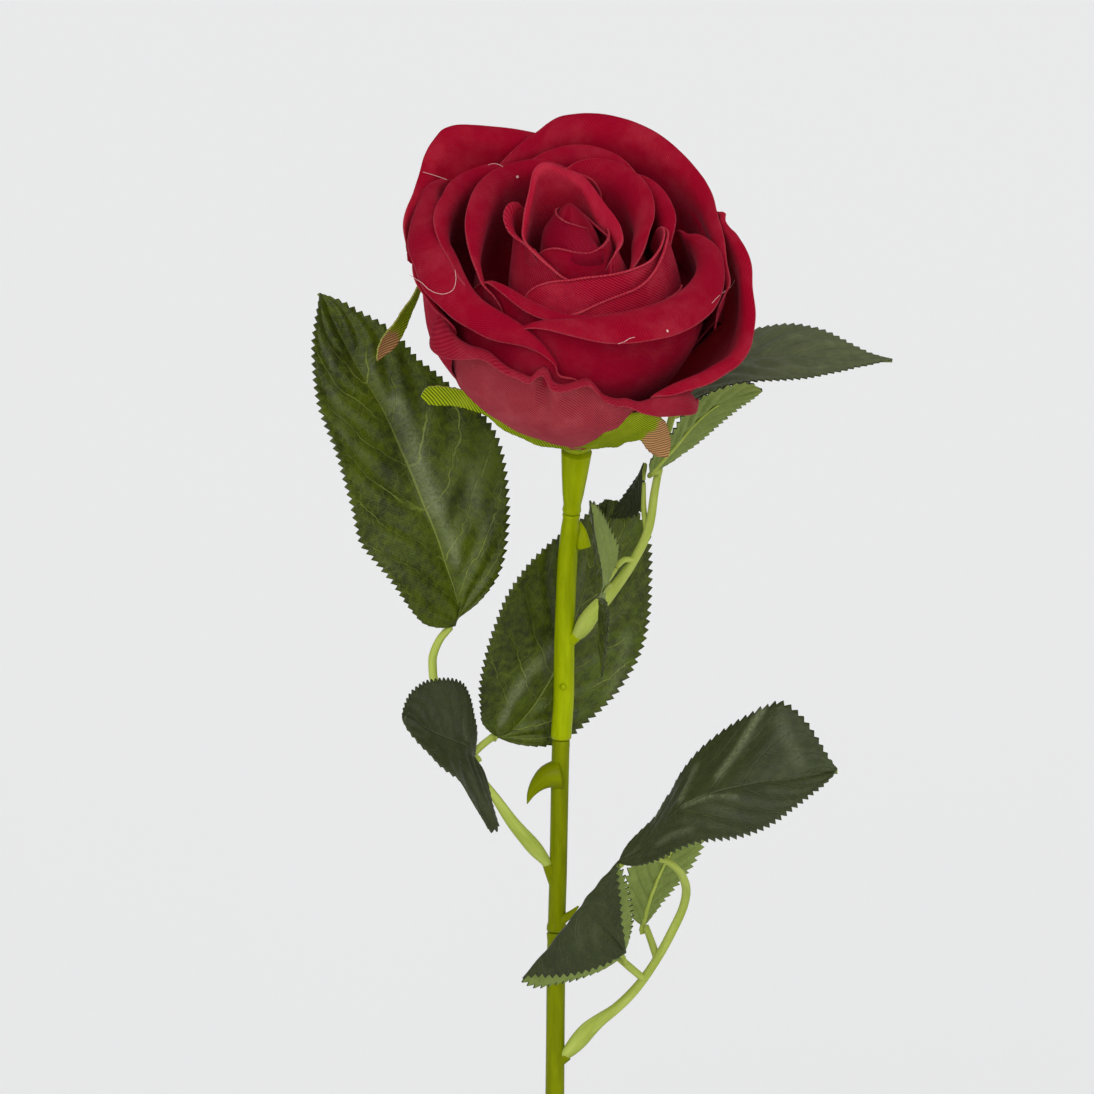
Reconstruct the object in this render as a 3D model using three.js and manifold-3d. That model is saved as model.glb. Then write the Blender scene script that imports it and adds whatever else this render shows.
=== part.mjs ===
/**
 * A made rose in a bud vase: cloth petals and leaves on a sleeved wire stem, standing in a plain
 * glazed vase. Millimetres, +Z up. The origin is the middle of the vase's flat base, and the bloom
 * nods towards -Y.
 */
import * as THREE from 'three';
import { mergeVertices } from 'three/addons/utils/BufferGeometryUtils.js';
import Module from 'manifold-3d';

const wasm = await Module();
wasm.setup();

// ---- Driving dimensions -------------------------------------------------------------------

const SEAT_GAP = 0.3;          // clearance left between pieces that touch
const PETAL_CLOTH = 0.7;       // thickness of a petal
const LEAF_CLOTH = 0.7;        // thickness of a leaf

const VASE = {
  height: 150, wall: 3, floor: 5, lip: 0.4, heel: 4, steps: 12, sides: 30,
  outside: [[28.6, 1.2], [32, 9], [36, 24], [37, 42], [32.5, 66], [22.5, 88], [13.8, 108],
      [10.9, 126], [11.1, 138], [13.2, 147.5]],
  foot: 27,
};

const STEM = {
  path: [
    [-1.4, -4.2, 5.6], [0.1, 0.1, 69], [1.6, 4.8, 134], [1.9, 5.6, 158], [2.3, 7, 198.7], [2.7, 7.6, 213.7],
    [3.4, 8.3, 246.8], [4, 8.2, 256.3], [4.2, 7.6, 271.4], [4.6, 6.5, 284], [5.2, 4.5, 295.5],
    [5.9, 1.9, 304.2], [6.5, -0.7, 312.4], [7.1, -3.6, 320.4],
  ],
  steps: 30, sides: 10,
  wireRadius: 0.8, boreRadius: 1.15, boreSides: 8,
};

/** The moulded sleeves on the wire, bottom to top: [height, radius] along the stem. */
const SLEEVES = {
  stem_lower: [[5.6, 1.9], [60, 1.9], [120, 1.9], [160, 1.95], [190, 1.95], [197.6, 2], [198.9, 2.3]],
  stem_middle: [[199.2, 2.3], [200.5, 2], [215, 2], [232, 2], [245.2, 2], [246.5, 2.1]],
  stem_upper: [[246.8, 2.5], [248, 2.5], [262, 2.5], [280, 2.45], [292, 2.4], [300, 2.2], [302.6, 2],
      [303.9, 2.3]],
  stem_receptacle: [[304.2, 2.3], [305.4, 1.95], [309, 2.4], [314, 3], [320.1, 3.7]],
};

/** Peg sockets and thorns that grow out of a sleeve: centre line points and radii. */
const OUTGROWTHS = {
  stem_lower: [
    { points: [[1.9, 5.7, 166], [3.4, 5.5, 167.3], [4.9, 5.2, 168.5]], radii: [1.5, 1.4, 1.35], sides: 6 },
  ],
  stem_middle: [
    { points: [[2.6, 7.5, 210.4], [1.5, 7.3, 212.1], [0.4, 7.1, 213.8]], radii: [1.5, 1.4, 1.3], sides: 6 },
    { points: [[3, 8, 237.5], [-0.6, 7.5, 236.3], [-3, 6.6, 234], [-4.9, 5.6, 231]],
        radii: [3.3, 2.3, 1, 0.3], sides: 6 },
    { points: [[2.4, 7.1, 201.5], [5, 6, 203.2], [7.6, 4.9, 205.9]], radii: [1.5, 0.9, 0.3], sides: 6 },
  ],
  stem_upper: [
    { points: [[4.2, 7.6, 270], [5.7, 6.9, 271.5], [7.3, 6.2, 273]], radii: [1.6, 1.5, 1.4], sides: 6 },
    { points: [[4.9, 5.4, 298.2], [8, 4.2, 297.2], [9.7, 3.6, 296.8]], radii: [2.4, 2.1, 1.3], sides: 6 },
    { points: [[4, 8.2, 260], [3.9, 5.4, 260.4], [3.9, 4.6, 260.5]], radii: [1.2, 1, 0.7], sides: 6 },
  ],
};

/** Stalks of the three leaf sprays: a main stalk and its side stalks, as [x, y, z, radius]. */
const SPRAYS = {
  spray_left_stalk: [
    [[-0.6, 6.9, 215.2, 1.1], [-2.1, 6.6, 217.4, 1.5], [-4.1, 6, 220.5, 1.45], [-8.3, 4.5, 225.7, 1.2],
        [-12.1, 3.9, 230.9, 1],
      [-15.3, 4.2, 237.3, 0.95], [-16.7, 5, 244.6, 0.95], [-19.7, 6, 251.3, 0.9], [-24.7, 7, 255.8, 0.9],
      [-27.7, 8, 261.3, 0.9], [-28.4, 8.5, 265.7, 0.9], [-27, 9, 269.8, 0.85], [-24.9, 9.3, 272.9, 0.8]],
    [[-16.6, 4.8, 243, 0.9], [-15.2, 7.6, 245.2, 0.8], [-12.9, 10.5, 246.1, 0.7]],
    [[-16.3, 4.7, 242.5, 0.9], [-15.9, 2.6, 242.7, 0.8], [-16.4, 0.2, 243.2, 0.7]],
  ],
  spray_right_stalk: [
    [[7.7, 6.05, 273.5, 1.2], [9, 5.5, 275.6, 1.7], [10.9, 5, 278.6, 1.5], [15.7, 4, 284.4, 1.15],
        [20.9, 3, 292.2, 1.15],
      [24.3, 3, 299.5, 1.1], [25.9, 4, 309.1, 1], [27.2, 6.4, 315.4, 0.9], [28.6, 10, 320.5, 0.9],
      [30, 13.2, 325, 0.9]],
    [[20.7, 3, 292, 0.9], [18.6, 0.9, 292.7, 0.8], [16.4, -2, 291.3, 0.7]],
    [[24.2, 3.2, 299, 0.9], [23.4, 4.4, 304, 0.8], [23.3, 5.8, 311.3, 0.7]],
    [[26.6, 5.2, 312.4, 0.9], [26.9, 3.6, 313.6, 0.8], [27.1, 2.2, 314.3, 0.7]],
  ],
  spray_low_stalk: [
    [[5.3, 5.1, 168.9, 1.3], [7.6, 4.7, 171, 1.9], [11, 3.4, 174.6, 1.7], [15.9, 1, 180.7, 1.15],
        [21.9, -1, 188.3, 1.15],
      [26.3, -2, 195, 1.1], [30.4, -3.2, 202.8, 1.1], [33.7, -5.4, 209.4, 1.1], [34.3, -9.4, 215, 1.1],
      [32.3, -14.5, 219.8, 1.1],
      [28.6, -18.8, 222.2, 0.9], [22.5, -21.2, 223.2, 0.85], [17.8, -22.6, 223.6, 0.8]],
    [[25.6, -1.8, 193.8, 0.9], [24, 0.6, 196.4, 0.8], [23.3, 2.6, 199.6, 0.7]],
    [[22.6, -1.2, 189.2, 0.9], [20.6, -3.6, 191.8, 0.8], [18.9, -6.2, 194.4, 0.7]],
  ],
};

/**
 * Leaves: base, bend and tip of the midrib, the direction that the upper face looks in, the widths
 * of the two halves, how far the halves fold up (degrees) and how far the edges curl down.
 */
const LEAVES = {
  leaf_left_end: { base: [-24.1, 9.4, 273.6], bend: [-29.5, 7, 312], tip: [-54.8, 16, 354.6],
      face: [0.41, -0.9, 0.16], half: [25.5, 22], fold: 24, curl: 0.06, teeth: 13, blunt: 0.98 },
  leaf_left_front: { base: [-16.65, -0.3, 243.9], bend: [-24, -18, 258], tip: [-34.6, -38, 265],
      face: [0.87, -0.13, 0.48], half: [15, 22], fold: 4, curl: 0.04, teeth: 9 },
  leaf_left_back: { base: [-12, 11.2, 246.7], bend: [2, 13, 270], tip: [13.4, 21, 302],
      face: [0.46, -0.87, -0.19], half: [26, 23], fold: 28, curl: 0.05, teeth: 12 },
  leaf_right_near: { base: [15.7, -2.7, 290.8], bend: [13.6, -20, 291.5], tip: [11.2, -40, 291],
      face: [-0.97, 0.25, 0.1], half: [19, 19], fold: 8, curl: 0.02, teeth: 9 },
  leaf_right_small: { base: [23.2, 8.8, 313], bend: [20, 14.6, 307], tip: [13.4, 18.4, 299.4],
      face: [-0.3, -0.8, 0.5], half: [2.6, 8], fold: 6, curl: 0.05, teeth: 6 },
  leaf_right_under: { base: [27.6, 1.2, 314.9], bend: [37, -6, 328], tip: [50.7, -16, 337.7],
      face: [-0.2, 0.55, 0.81], half: [11, 11], fold: 8, curl: 0.04, teeth: 9 },
  leaf_right_end: { base: [30.5, 13.9, 325.9], bend: [52, 21, 346], tip: [82.6, 14, 339.3],
      face: [0, -0.16, 0.99], half: [17, 17], fold: 8, curl: 0.03, teeth: 12 },
  leaf_low_end: { base: [16.9, -23.2, 224.2], bend: [40, -33, 251], tip: [68.9, -22, 245.9],
      face: [-0.3, -0.35, 0.9], faceTip: [-0.35, -0.9, 0.4], half: [12, 21], fold: 6, curl: 0.06,
      teeth: 11, lean: [0.8, 1.25] },
  leaf_low_folded: { base: [18.4, -6.9, 195.2], bend: [-14, -24, 219], tip: [19.6, -37, 201.5],
      face: [-0.75, -0.2, 0.6], half: [18, 18], fold: 4, curl: 0.02, teeth: 10 },
  leaf_low_back: { base: [23.2, 3.1, 200.4], bend: [27, 6, 212], tip: [36, 12, 228],
      face: [-0.3, 0.9, 0.2], half: [11, 10], fold: 10, curl: 0.03, teeth: 8 },
};

const BLOOM = { place: [7.2, -4, 321.2], nod: 27.5, rootRadius: 3.2, rootHeight: 4.2, rootSpread: 0.5 };

/**
 * Petals in the bloom's own frame, inside to outside: belly is [radius, height] of the widest place,
 * rim points are [x, y, height, roll outwards, roll down].
 */
const PETALS = [
  { name: 'bud', belly: [8.6, 54], rim: [[3.5, 1.5, 69.5], [0.5, 3.2, 71.5], [-2.6, 2, 73.3],
      [-4.6, -0.4, 72], [-3.4, -2.6, 70.8], [-0.4, -2.4, 70.6], [1.6, -0.6, 71.3]] },
  { name: 'bud_wrap', belly: [10.2, 50], rim: [[-9.5, -4.5, 66], [-7.2, -7.2, 66], [-4.1, -7.6, 65.5],
      [0.7, -7.6, 65.3], [3.8, -6.9, 65.5], [6.4, -4.3, 65.6], [7.6, -1.2, 65.8], [7.2, 3, 66.3]] },
  { name: 'tall_point', belly: [13, 46], rim: [[-12.7, -1, 64.5], [-12, 4.2, 69],
      [-10.2, 6.8, 76, 0.4, 0.2], [-7.7, 9.4, 79, 0.8, 0.6], [-4.1, 9.6, 77.2, 1, 0.6],
      [0, 10.2, 75.3, 1.6, 1], [3.1, 9.4, 72, 2.4, 1.6], [7.9, 5, 67, 2.6, 1.6], [11, 0.3, 63, 1.2, 1]] },
  { name: 'left_wrap', belly: [17, 43], rim: [[-13.6, 12, 66], [-17.2, 5.8, 65.5, 0.8, 0.3],
      [-16.6, 3, 64.5, 0.8, 0.3], [-12.5, -2.2, 63, 0.8, 0.3], [-7.7, -7.5, 62, 0.6, 0.2],
      [-3.4, -12.3, 61.5], [0.6, -14.2, 60.5]] },
  { name: 'right_wrap', belly: [22.5, 45], rim: [[-6, -14.4, 60.5], [-2.2, -13.3, 62],
      [5.5, -12.4, 62], [10.3, -11.2, 62], [15.1, -9.3, 62], [18.2, -6.4, 62], [20, -1.6, 62],
      [20.6, 5, 62.5]] },
  { name: 'right_inner', belly: [20, 45], rim: [[-4, 24, 67.5], [3.1, 25.6, 68, 0.8, 0.3],
      [9.8, 23.6, 67.5, 0.8, 0.3], [15.1, 18.8, 66, 0.8, 0.3], [18, 9.2, 65, 0.6, 0.2],
      [18, 5.2, 64.5, 0.4, 0.2], [16.6, -0.5, 63.5], [14.6, -4.4, 62]] },
  { name: 'right_fold', belly: [25, 43], rim: [[-8, -23.4, 57], [-1.7, -23.7, 59], [7.9, -18.8, 60],
      [16.3, -12.7, 61], [20.2, -4.6, 62], [21.6, 3, 62.5]] },
  { name: 'left_ring', belly: [26.5, 44], rim: [[-23.2, -14.4, 61], [-24.8, -7.6, 62.5],
      [-26, 3, 64, 0.6, 0.2], [-26.3, 11.4, 64.6, 0.8, 0.3], [-23.5, 19.4, 66, 1, 0.3],
      [-18.5, 23.7, 67, 1, 0.3], [-7.7, 25.3, 67.5, 1, 0.3], [0, 21.6, 67, 0.6, 0.2], [4, 18, 66]] },
  { name: 'back_ring', belly: [28, 44], rim: [[-14, 26.4, 66], [-7.7, 27.6, 66.5, 0.8, 0.3],
      [-0.5, 30.7, 67.5, 0.8, 0.3], [6.7, 29.4, 67, 0.8, 0.3], [14.2, 22.6, 65.5], [19.6, 14, 64.5]] },
  { name: 'right_ring', belly: [24.5, 42], rim: [[11, 24.6, 64.5], [14.2, 23, 65],
      [19.9, 16.5, 65, 0.6, 0.2], [22.8, 8.5, 64, 0.8, 0.3], [22.9, 2, 63.2, 0.6, 0.2],
      [21.8, -5, 62], [20.6, -11.6, 58.5], [19.9, -15.5, 56]] },
  { name: 'front_ring', belly: [28, 41], rim: [[-21.6, -9, 57.4], [-20.7, -10, 58.2],
      [-17.3, -13.8, 58, 0.8, 0.2], [-13.7, -18.5, 58, 0.8, 0.2], [-6.5, -24.4, 58, 0.8, 0.2],
      [2, -24.6, 58.6, 0.6, 0.2], [11.5, -22.5, 59], [21.1, -18.5, 59.4], [24.6, -10, 60]] },
  { name: 'second_left', belly: [31.5, 44], rim: [[-30, -10, 61], [-33, 0, 63],
      [-33.6, 6.8, 64, 0.8, 0.3], [-32.9, 14.4, 64, 1, 0.3], [-28.8, 20.8, 65, 1, 0.3],
      [-22, 25.5, 66, 0.8, 0.3], [-10, 28.5, 66]] },
  { name: 'front_cup', belly: [30, 40], rim: [[-15.5, -26.4, 57.5, 1, 0.5], [-6, -28.5, 58.5, 1, 1],
      [1, -28.5, 59, 2.4, 1.6], [11.5, -26.5, 60, 6, 2.2], [20, -22.5, 60.4, 8.2, 2.8],
      [25.6, -18.6, 60.8, 8, 2.8], [30, -13.6, 61.4, 5, 2.4], [31.9, -8, 62, 3.4, 2],
      [31.4, -2, 62.5, 2.6, 1.8], [27, 4, 62.5, 1.6, 1], [22, 7, 62]] },
  { name: 'left_band', belly: [32.5, 42], rim: [[-3, -30.6, 52, 0.6, 6], [-8, -30.5, 56, 1, 5],
      [-13.7, -28, 58, 2.5, 4.4], [-19.7, -23.5, 60, 4, 4], [-25.7, -18.2, 62, 6, 3.5],
      [-30.5, -8.7, 63, 7.5, 4], [-34, 4, 63.5, 7.5, 3], [-35, 12, 64.5, 6.5, 2.5],
      [-34.4, 17, 64.4, 3.2, 1.6], [-32.8, 22, 62.6, 1, 0.5]] },
  { name: 'back_left', belly: [37, 46], rim: [[-34.8, 12, 62.6], [-35.4, 21, 65.4, 0.6, 0.3],
      [-34, 28.4, 69.2, 1.4, 0.8], [-30.5, 33.4, 71, 1.4, 0.8], [-23.3, 34.4, 71, 1, 0.4],
      [-13.7, 33.4, 70.5, 0.8, 0.3], [-4, 33, 69.5], [4, 31, 68]] },
  { name: 'back_right', belly: [35, 46], rim: [[-14, 33, 66], [-9.6, 34.5, 68.6],
      [-4.1, 37.4, 70, 1, 0.4], [5.5, 39.2, 70.5, 1.2, 0.6], [15.1, 36.4, 70, 1.2, 0.6],
      [22.3, 31.2, 69, 1.2, 0.6], [27.6, 23.7, 68, 1, 0.6], [31.2, 15.6, 67, 0.8, 0.4],
      [33.4, 9.5, 65, 0.6, 0.3], [35.4, 2.6, 60.4, 0.6, 0.3], [36.7, -4.3, 54]] },
  { name: 'right_outer', belly: [37, 38], rim: [[29, 20, 60], [33.6, 13.6, 61.6], [35.2, 11.8, 62.4],
      [35.2, 10, 60.6], [37.6, 6, 59, 0.8, 0.4], [39.6, 0.4, 56, 0.8, 0.6], [40.1, -7, 53, 0.8, 0.8],
      [39.2, -13.2, 48.6, 1.4, 1], [36.6, -20.8, 46, 2.4, 1.6], [29.5, -27, 45, 3, 2],
      [21, -30.6, 42.5, 2, 1.6], [12, -31, 41]] },
  { name: 'front_lobe', belly: [26, 27], rim: [[2, -30, 40.5, 1, 0.6], [9, -31.4, 40.4, 1.6, 1.2],
      [15.1, -32, 41, 2.6, 2.2], [19.4, -31.4, 42, 3.4, 3], [23.6, -29.8, 42.4, 4, 3.4],
      [26.6, -27, 42, 3, 3], [28.6, -22.8, 41.6, 1, 1]] },
  { name: 'left_outer', belly: [34.5, 37], rim: [[-27, 25, 55], [-34.6, 15, 55, 0.8, 0.4],
      [-37.8, 4, 54, 0.8, 0.4], [-37.6, -6, 51.6, 0.6, 0.3], [-35.4, -12, 49.4], [-33, -16, 48.2],
      [-29, -19, 48], [-23, -22.6, 48]] },
  { name: 'back_outer', belly: [34, 36], rim: [[38, 4, 54], [34, 18, 58, 2, 1],
      [25, 30, 60, 3.4, 2.4], [12, 37, 60.6, 4, 3], [-3, 39, 60, 4, 3], [-18, 35, 59, 3.6, 2.4],
      [-29, 26, 57, 2, 1.4], [-36, 12, 54]] },
  { name: 'front_outer', belly: [29.6, 29], rim: [[-35.4, -17.2, 44.4], [-33, -20.6, 45.6, 0.8, 0.4],
      [-27.6, -22.8, 47, 1.2, 0.6], [-20.2, -26, 46.4, 1, 0.6], [-12.4, -29.4, 44.8, 1, 0.6],
      [-9, -29.4, 46, 1, 0.4], [-6.3, -31.6, 44.2, 0.8, 0.4], [-2.4, -32.4, 43.4, 0.8, 0.6],
      [3.1, -31.4, 44.2, 0.8, 0.4], [4.5, -33.8, 42, 0.6, 0.4], [11.6, -35, 40.2, 0.8, 0.4],
      [18.8, -34.4, 38.2, 0.6, 0.4]] },
];

/** Sepals in the bloom's frame: midline points as [x, y, height, half width]. */
const SEPALS = [
  [[-5, -2, 3.6, 3], [-15, -7.5, 11, 4.4], [-25, -9.5, 18, 4.2], [-31.5, -9, 21.5, 3.4],
      [-37, -8, 22, 1.8]],
  [[3.6, -4, 3.4, 3.4], [9.6, -10.4, 9, 5], [14.6, -15.4, 14.8, 5], [18.4, -18.4, 15.6, 3.6],
      [20.6, -19.4, 10.4, 1.6]],
  [[-5, 3, 3.6, 3], [-22, 9.5, 9, 4], [-34, 14, 22, 4.2], [-41.6, 16.4, 33.4, 2.4],
      [-46, 15.6, 28, 2.6], [-49.4, 15, 16.4, 1]],
  [[-1, 5.4, 3.6, 3], [-3, 17, 7.6, 4.6], [-5, 29, 16, 4], [-7, 38.6, 24, 2.6], [-8, 45, 27, 1]],
  [[5, 2.6, 3.6, 3], [17.5, 8, 7.6, 4.6], [29, 13, 14.6, 4], [38, 17.5, 20, 2.6], [44, 20.5, 19.5, 1]],
];
const CALYX_DISH = [[0, 0.3], [4.4, 0.3], [6.6, 2.4], [6.2, 3.4], [4.2, 1.8], [0, 1.8]];
const BLOOM_CORE = [[0, 2.2], [3.8, 2.2], [5.6, 4], [7, 9], [6.4, 18], [4, 30], [0, 34]];

// ---- Finishes ---------------------------------------------------------------------------------

const finish = (color, roughness) => new THREE.MeshStandardMaterial({ color, roughness, metalness: 0 });
const GLAZE = finish(0xe9e6df, 0.25);
const PETAL_RED = finish(0x8f1529, 0.85);
const SEPAL_GREEN = finish(0x7f8a2c, 0.8);
const LEAF_GREEN = finish(0x3c4a28, 0.55);
const STEM_GREEN = finish(0x7c8a10, 0.4);
const STALK_GREEN = finish(0x96ab45, 0.45);
const WIRE_STEEL = new THREE.MeshStandardMaterial({ color: 0x8d8f90, roughness: 0.4, metalness: 1 });

// ---- Geometry helpers -------------------------------------------------------------------------

const vector = (point) => new THREE.Vector3(point[0], point[1], point[2]);
const radians = THREE.MathUtils.degToRad;

/** A smooth curve through points, read by arc length, that also carries further columns of values. */
class CarriedCurve {
  constructor(points, columns) {
    this.path = new THREE.CatmullRomCurve3(points.map(vector), false, 'centripetal');
    this.path.arcLengthDivisions = 400;
    this.values = points.map((point) => columns.map((column) => point[column] ?? 0));
  }

  at(fraction) {
    const t = this.path.getUtoTmapping(fraction);
    const place = t * (this.values.length - 1);
    const index = Math.min(Math.floor(place), this.values.length - 2);
    const low = this.values[index];
    const high = this.values[index + 1];
    const values = low.map((value, k) => THREE.MathUtils.lerp(value, high[k], place - index));
    return { point: this.path.getPoint(t), values };
  }
}

function geometryOf(vertices, triangles) {
  const geometry = new THREE.BufferGeometry();
  geometry.setAttribute('position', new THREE.Float32BufferAttribute(vertices, 3));
  geometry.setIndex(triangles);
  return geometry;
}

/** Rings of points, lowest first, skinned and closed with a fan at both ends. */
function skinRings(rings) {
  const sides = rings[0].length;
  const vertices = [];
  const triangles = [];
  rings.flat().forEach((point) => vertices.push(point.x, point.y, point.z));
  for (let ring = 0; ring < rings.length - 1; ring++) {
    for (let side = 0; side < sides; side++) {
      const a = ring * sides + side;
      const b = ring * sides + (side + 1) % sides;
      triangles.push(a, b, b + sides, a, b + sides, a + sides);
    }
  }
  [rings[0], rings[rings.length - 1]].forEach((ring, end) => {
    const middle = ring.reduce((sum, point) => sum.add(point), new THREE.Vector3()).divideScalar(sides);
    const hub = vertices.length / 3;
    const first = end * (rings.length - 1) * sides;
    vertices.push(middle.x, middle.y, middle.z);
    for (let side = 0; side < sides; side++) {
      const a = first + side;
      const b = first + (side + 1) % sides;
      triangles.push(...(end ? [a, b, hub] : [b, a, hub]));
    }
  });
  return geometryOf(vertices, triangles);
}

/** A round bar along a curve; stations are [fraction of the curve, radius]. */
function bar(curve, stations, sides) {
  let normal = new THREE.Vector3(0, 1, 0);
  const rings = stations.map(([fraction, radius]) => {
    const tangent = curve.getTangentAt(fraction);
    normal = normal.clone().addScaledVector(tangent, -normal.dot(tangent)).normalize();
    const across = new THREE.Vector3().crossVectors(tangent, normal);
    const centre = curve.getPointAt(fraction);
    return Array.from({ length: sides }, (_, side) => {
      const angle = (2 * Math.PI * side) / sides;
      const point = centre.clone().addScaledVector(normal, radius * Math.cos(angle));
      return point.addScaledVector(across, radius * Math.sin(angle));
    });
  });
  return skinRings(rings);
}

function barThrough(points, radii, sides) {
  const curve = new THREE.CatmullRomCurve3(points.map(vector), false, 'centripetal');
  const steps = 2 * (points.length - 1);
  const stations = Array.from({ length: steps + 1 }, (_, step) => {
    const place = (step / steps) * (radii.length - 1);
    const index = Math.min(Math.floor(place), radii.length - 2);
    return [step / steps, THREE.MathUtils.lerp(radii[index], radii[index + 1], place - index)];
  });
  return bar(curve, stations, sides);
}

/** A cloth blade of even thickness on a grid of points; both faces are split alike. */
function blade(rows, thickness) {
  const last = rows.length - 1;
  const width = rows[0].length;
  const clamp = (value, high) => Math.max(0, Math.min(high, value));
  const faces = [[], []];
  rows.forEach((row, i) => row.forEach((point, j) => {
    const along = rows[clamp(i + 1, last)][j].clone().sub(rows[clamp(i - 1, last)][j]);
    const across = rows[i][clamp(j + 1, width - 1)].clone().sub(rows[i][clamp(j - 1, width - 1)]);
    const normal = new THREE.Vector3().crossVectors(across, along).normalize();
    faces[0].push(point.clone().addScaledVector(normal, thickness / 2));
    faces[1].push(point.clone().addScaledVector(normal, -thickness / 2));
  }));
  const vertices = [...faces[0], ...faces[1]].flatMap((point) => [point.x, point.y, point.z]);
  const back = rows.length * width;
  const triangles = [];
  for (let i = 0; i < last; i++) {
    for (let j = 0; j < width - 1; j++) {
      const a = i * width + j;
      const b = a + width;
      triangles.push(a, a + 1, b + 1, a, b + 1, b);
      triangles.push(back + a, back + b + 1, back + a + 1, back + a, back + b, back + b + 1);
    }
  }
  const border = [];
  for (let j = 0; j < width - 1; j++) border.push(j);
  for (let i = 0; i < last; i++) border.push(i * width + width - 1);
  for (let j = width - 1; j > 0; j--) border.push(last * width + j);
  for (let i = last; i > 0; i--) border.push(i * width);
  border.forEach((a, k) => {
    const b = border[(k + 1) % border.length];
    triangles.push(a, back + a, back + b, a, back + b, b);
  });
  return geometryOf(vertices, triangles);
}

const flat = ([radius, height]) => new THREE.Vector2(radius, height);

function lathe(profile, sides) {
  return new THREE.LatheGeometry(profile.map(flat), sides).rotateX(Math.PI / 2);
}

// ---- Joining and cutting ----------------------------------------------------------------------

function solid(geometry) {
  const bare = geometry.clone();
  bare.deleteAttribute('normal');
  bare.deleteAttribute('uv');
  const merged = mergeVertices(bare, 1e-4);
  return new wasm.Manifold(new wasm.Mesh({
    numProp: 3,
    vertProperties: new Float32Array(merged.attributes.position.array),
    triVerts: new Uint32Array(merged.index.array),
  }));
}

function geometryFrom(body) {
  const mesh = body.getMesh();
  return geometryOf(Array.from(mesh.vertProperties), Array.from(mesh.triVerts));
}

/** The largest outer skin of a fused body: hollows that fusing sealed are filled, scraps dropped. */
function outerSkin(geometry) {
  const position = geometry.attributes.position;
  const index = geometry.index.array;
  const leader = Array.from({ length: position.count }, (_, vertex) => vertex);
  const find = (vertex) => {
    while (leader[vertex] !== vertex) {
      leader[vertex] = leader[leader[vertex]];
      vertex = leader[vertex];
    }
    return vertex;
  };
  for (let k = 0; k < index.length; k += 3) {
    leader[find(index[k])] = find(index[k + 1]);
    leader[find(index[k + 1])] = find(index[k + 2]);
  }
  const corner = (k) => new THREE.Vector3().fromBufferAttribute(position, index[k]);
  const skins = new Map();
  for (let k = 0; k < index.length; k += 3) {
    const key = find(index[k]);
    const skin = skins.get(key) ?? { volume: 0, triangles: [] };
    skin.volume += corner(k).dot(corner(k + 1).cross(corner(k + 2))) / 6;
    skin.triangles.push(index[k], index[k + 1], index[k + 2]);
    skins.set(key, skin);
  }
  const largest = [...skins.values()].sort((a, b) => b.volume - a.volume)[0];
  const kept = geometryOf(Array.from(position.array), largest.triangles);
  return mergeVertices(kept, 1e-4);
}

function fuse(geometries) {
  return geometries.map(solid).reduce((whole, piece) => whole.add(piece));
}

function part(name, geometry, material) {
  const mesh = new THREE.Mesh(geometry, material);
  mesh.name = name;
  return mesh;
}

// ---- Vase -------------------------------------------------------------------------------------

function vaseGeometry() {
  const outer = new THREE.SplineCurve(VASE.outside.map(flat)).getPoints(VASE.steps);
  const inner = outer.slice(1).map((point) => [point.x - VASE.wall, Math.max(point.y, VASE.floor)]);
  const [mouth] = VASE.outside.at(-1);
  const lip = [
    [mouth - VASE.lip, VASE.height - 2 * VASE.lip], [mouth - VASE.wall / 2, VASE.height],
    [mouth - VASE.wall + VASE.lip, VASE.height - 2 * VASE.lip],
  ];
  const profile = [
    [0, 0], [VASE.foot, 0], ...outer.map((point) => [point.x, point.y]), ...lip,
    ...inner.reverse(), [inner.at(-1)[0] - VASE.heel, VASE.floor], [0, VASE.floor],
  ];
  return lathe(profile, VASE.sides);
}

// ---- Stem -------------------------------------------------------------------------------------

const stemCurve = new THREE.CatmullRomCurve3(STEM.path.map(vector), false, 'centripetal');
stemCurve.arcLengthDivisions = 800;

/** How far along the stem, from 0 to 1, it passes a height. */
function stemFraction(height) {
  let low = 0;
  let high = 1;
  for (let step = 0; step < 40; step++) {
    const middle = (low + high) / 2;
    if (stemCurve.getPointAt(middle).z < height) low = middle;
    else high = middle;
  }
  return (low + high) / 2;
}

function wholeStemBar(radius, first, last) {
  const steps = Array.from({ length: STEM.steps + 1 }, (_, step) => step / STEM.steps);
  const stations = steps.map((step) => [THREE.MathUtils.lerp(first, last, step), radius]);
  return bar(stemCurve, stations, STEM.boreSides);
}

function sleeveGeometry(name, bore) {
  const stations = SLEEVES[name].map(([height, radius]) => [stemFraction(height), radius]);
  const outgrowths = OUTGROWTHS[name] ?? [];
  const grown = outgrowths.map(({ points, radii, sides }) => barThrough(points, radii, sides));
  return geometryFrom(fuse([bar(stemCurve, stations, STEM.sides), ...grown]).subtract(bore));
}

// ---- Leaf sprays ------------------------------------------------------------------------------

function stalkGeometry(lines) {
  return geometryFrom(fuse(lines.map((line) => barThrough(line, line.map((point) => point[3]), 6))));
}

/**
 * Half width of a rose leaflet, as a share of its widest place, from base (0) to tip (1). A larger
 * lean moves the widest place to the tip; a larger blunt makes both ends more pointed.
 */
const leafOutline = (v, lean, blunt) => Math.sin(Math.PI * v ** lean) ** blunt * (1 - 0.18 * v) + 0.03;

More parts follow.
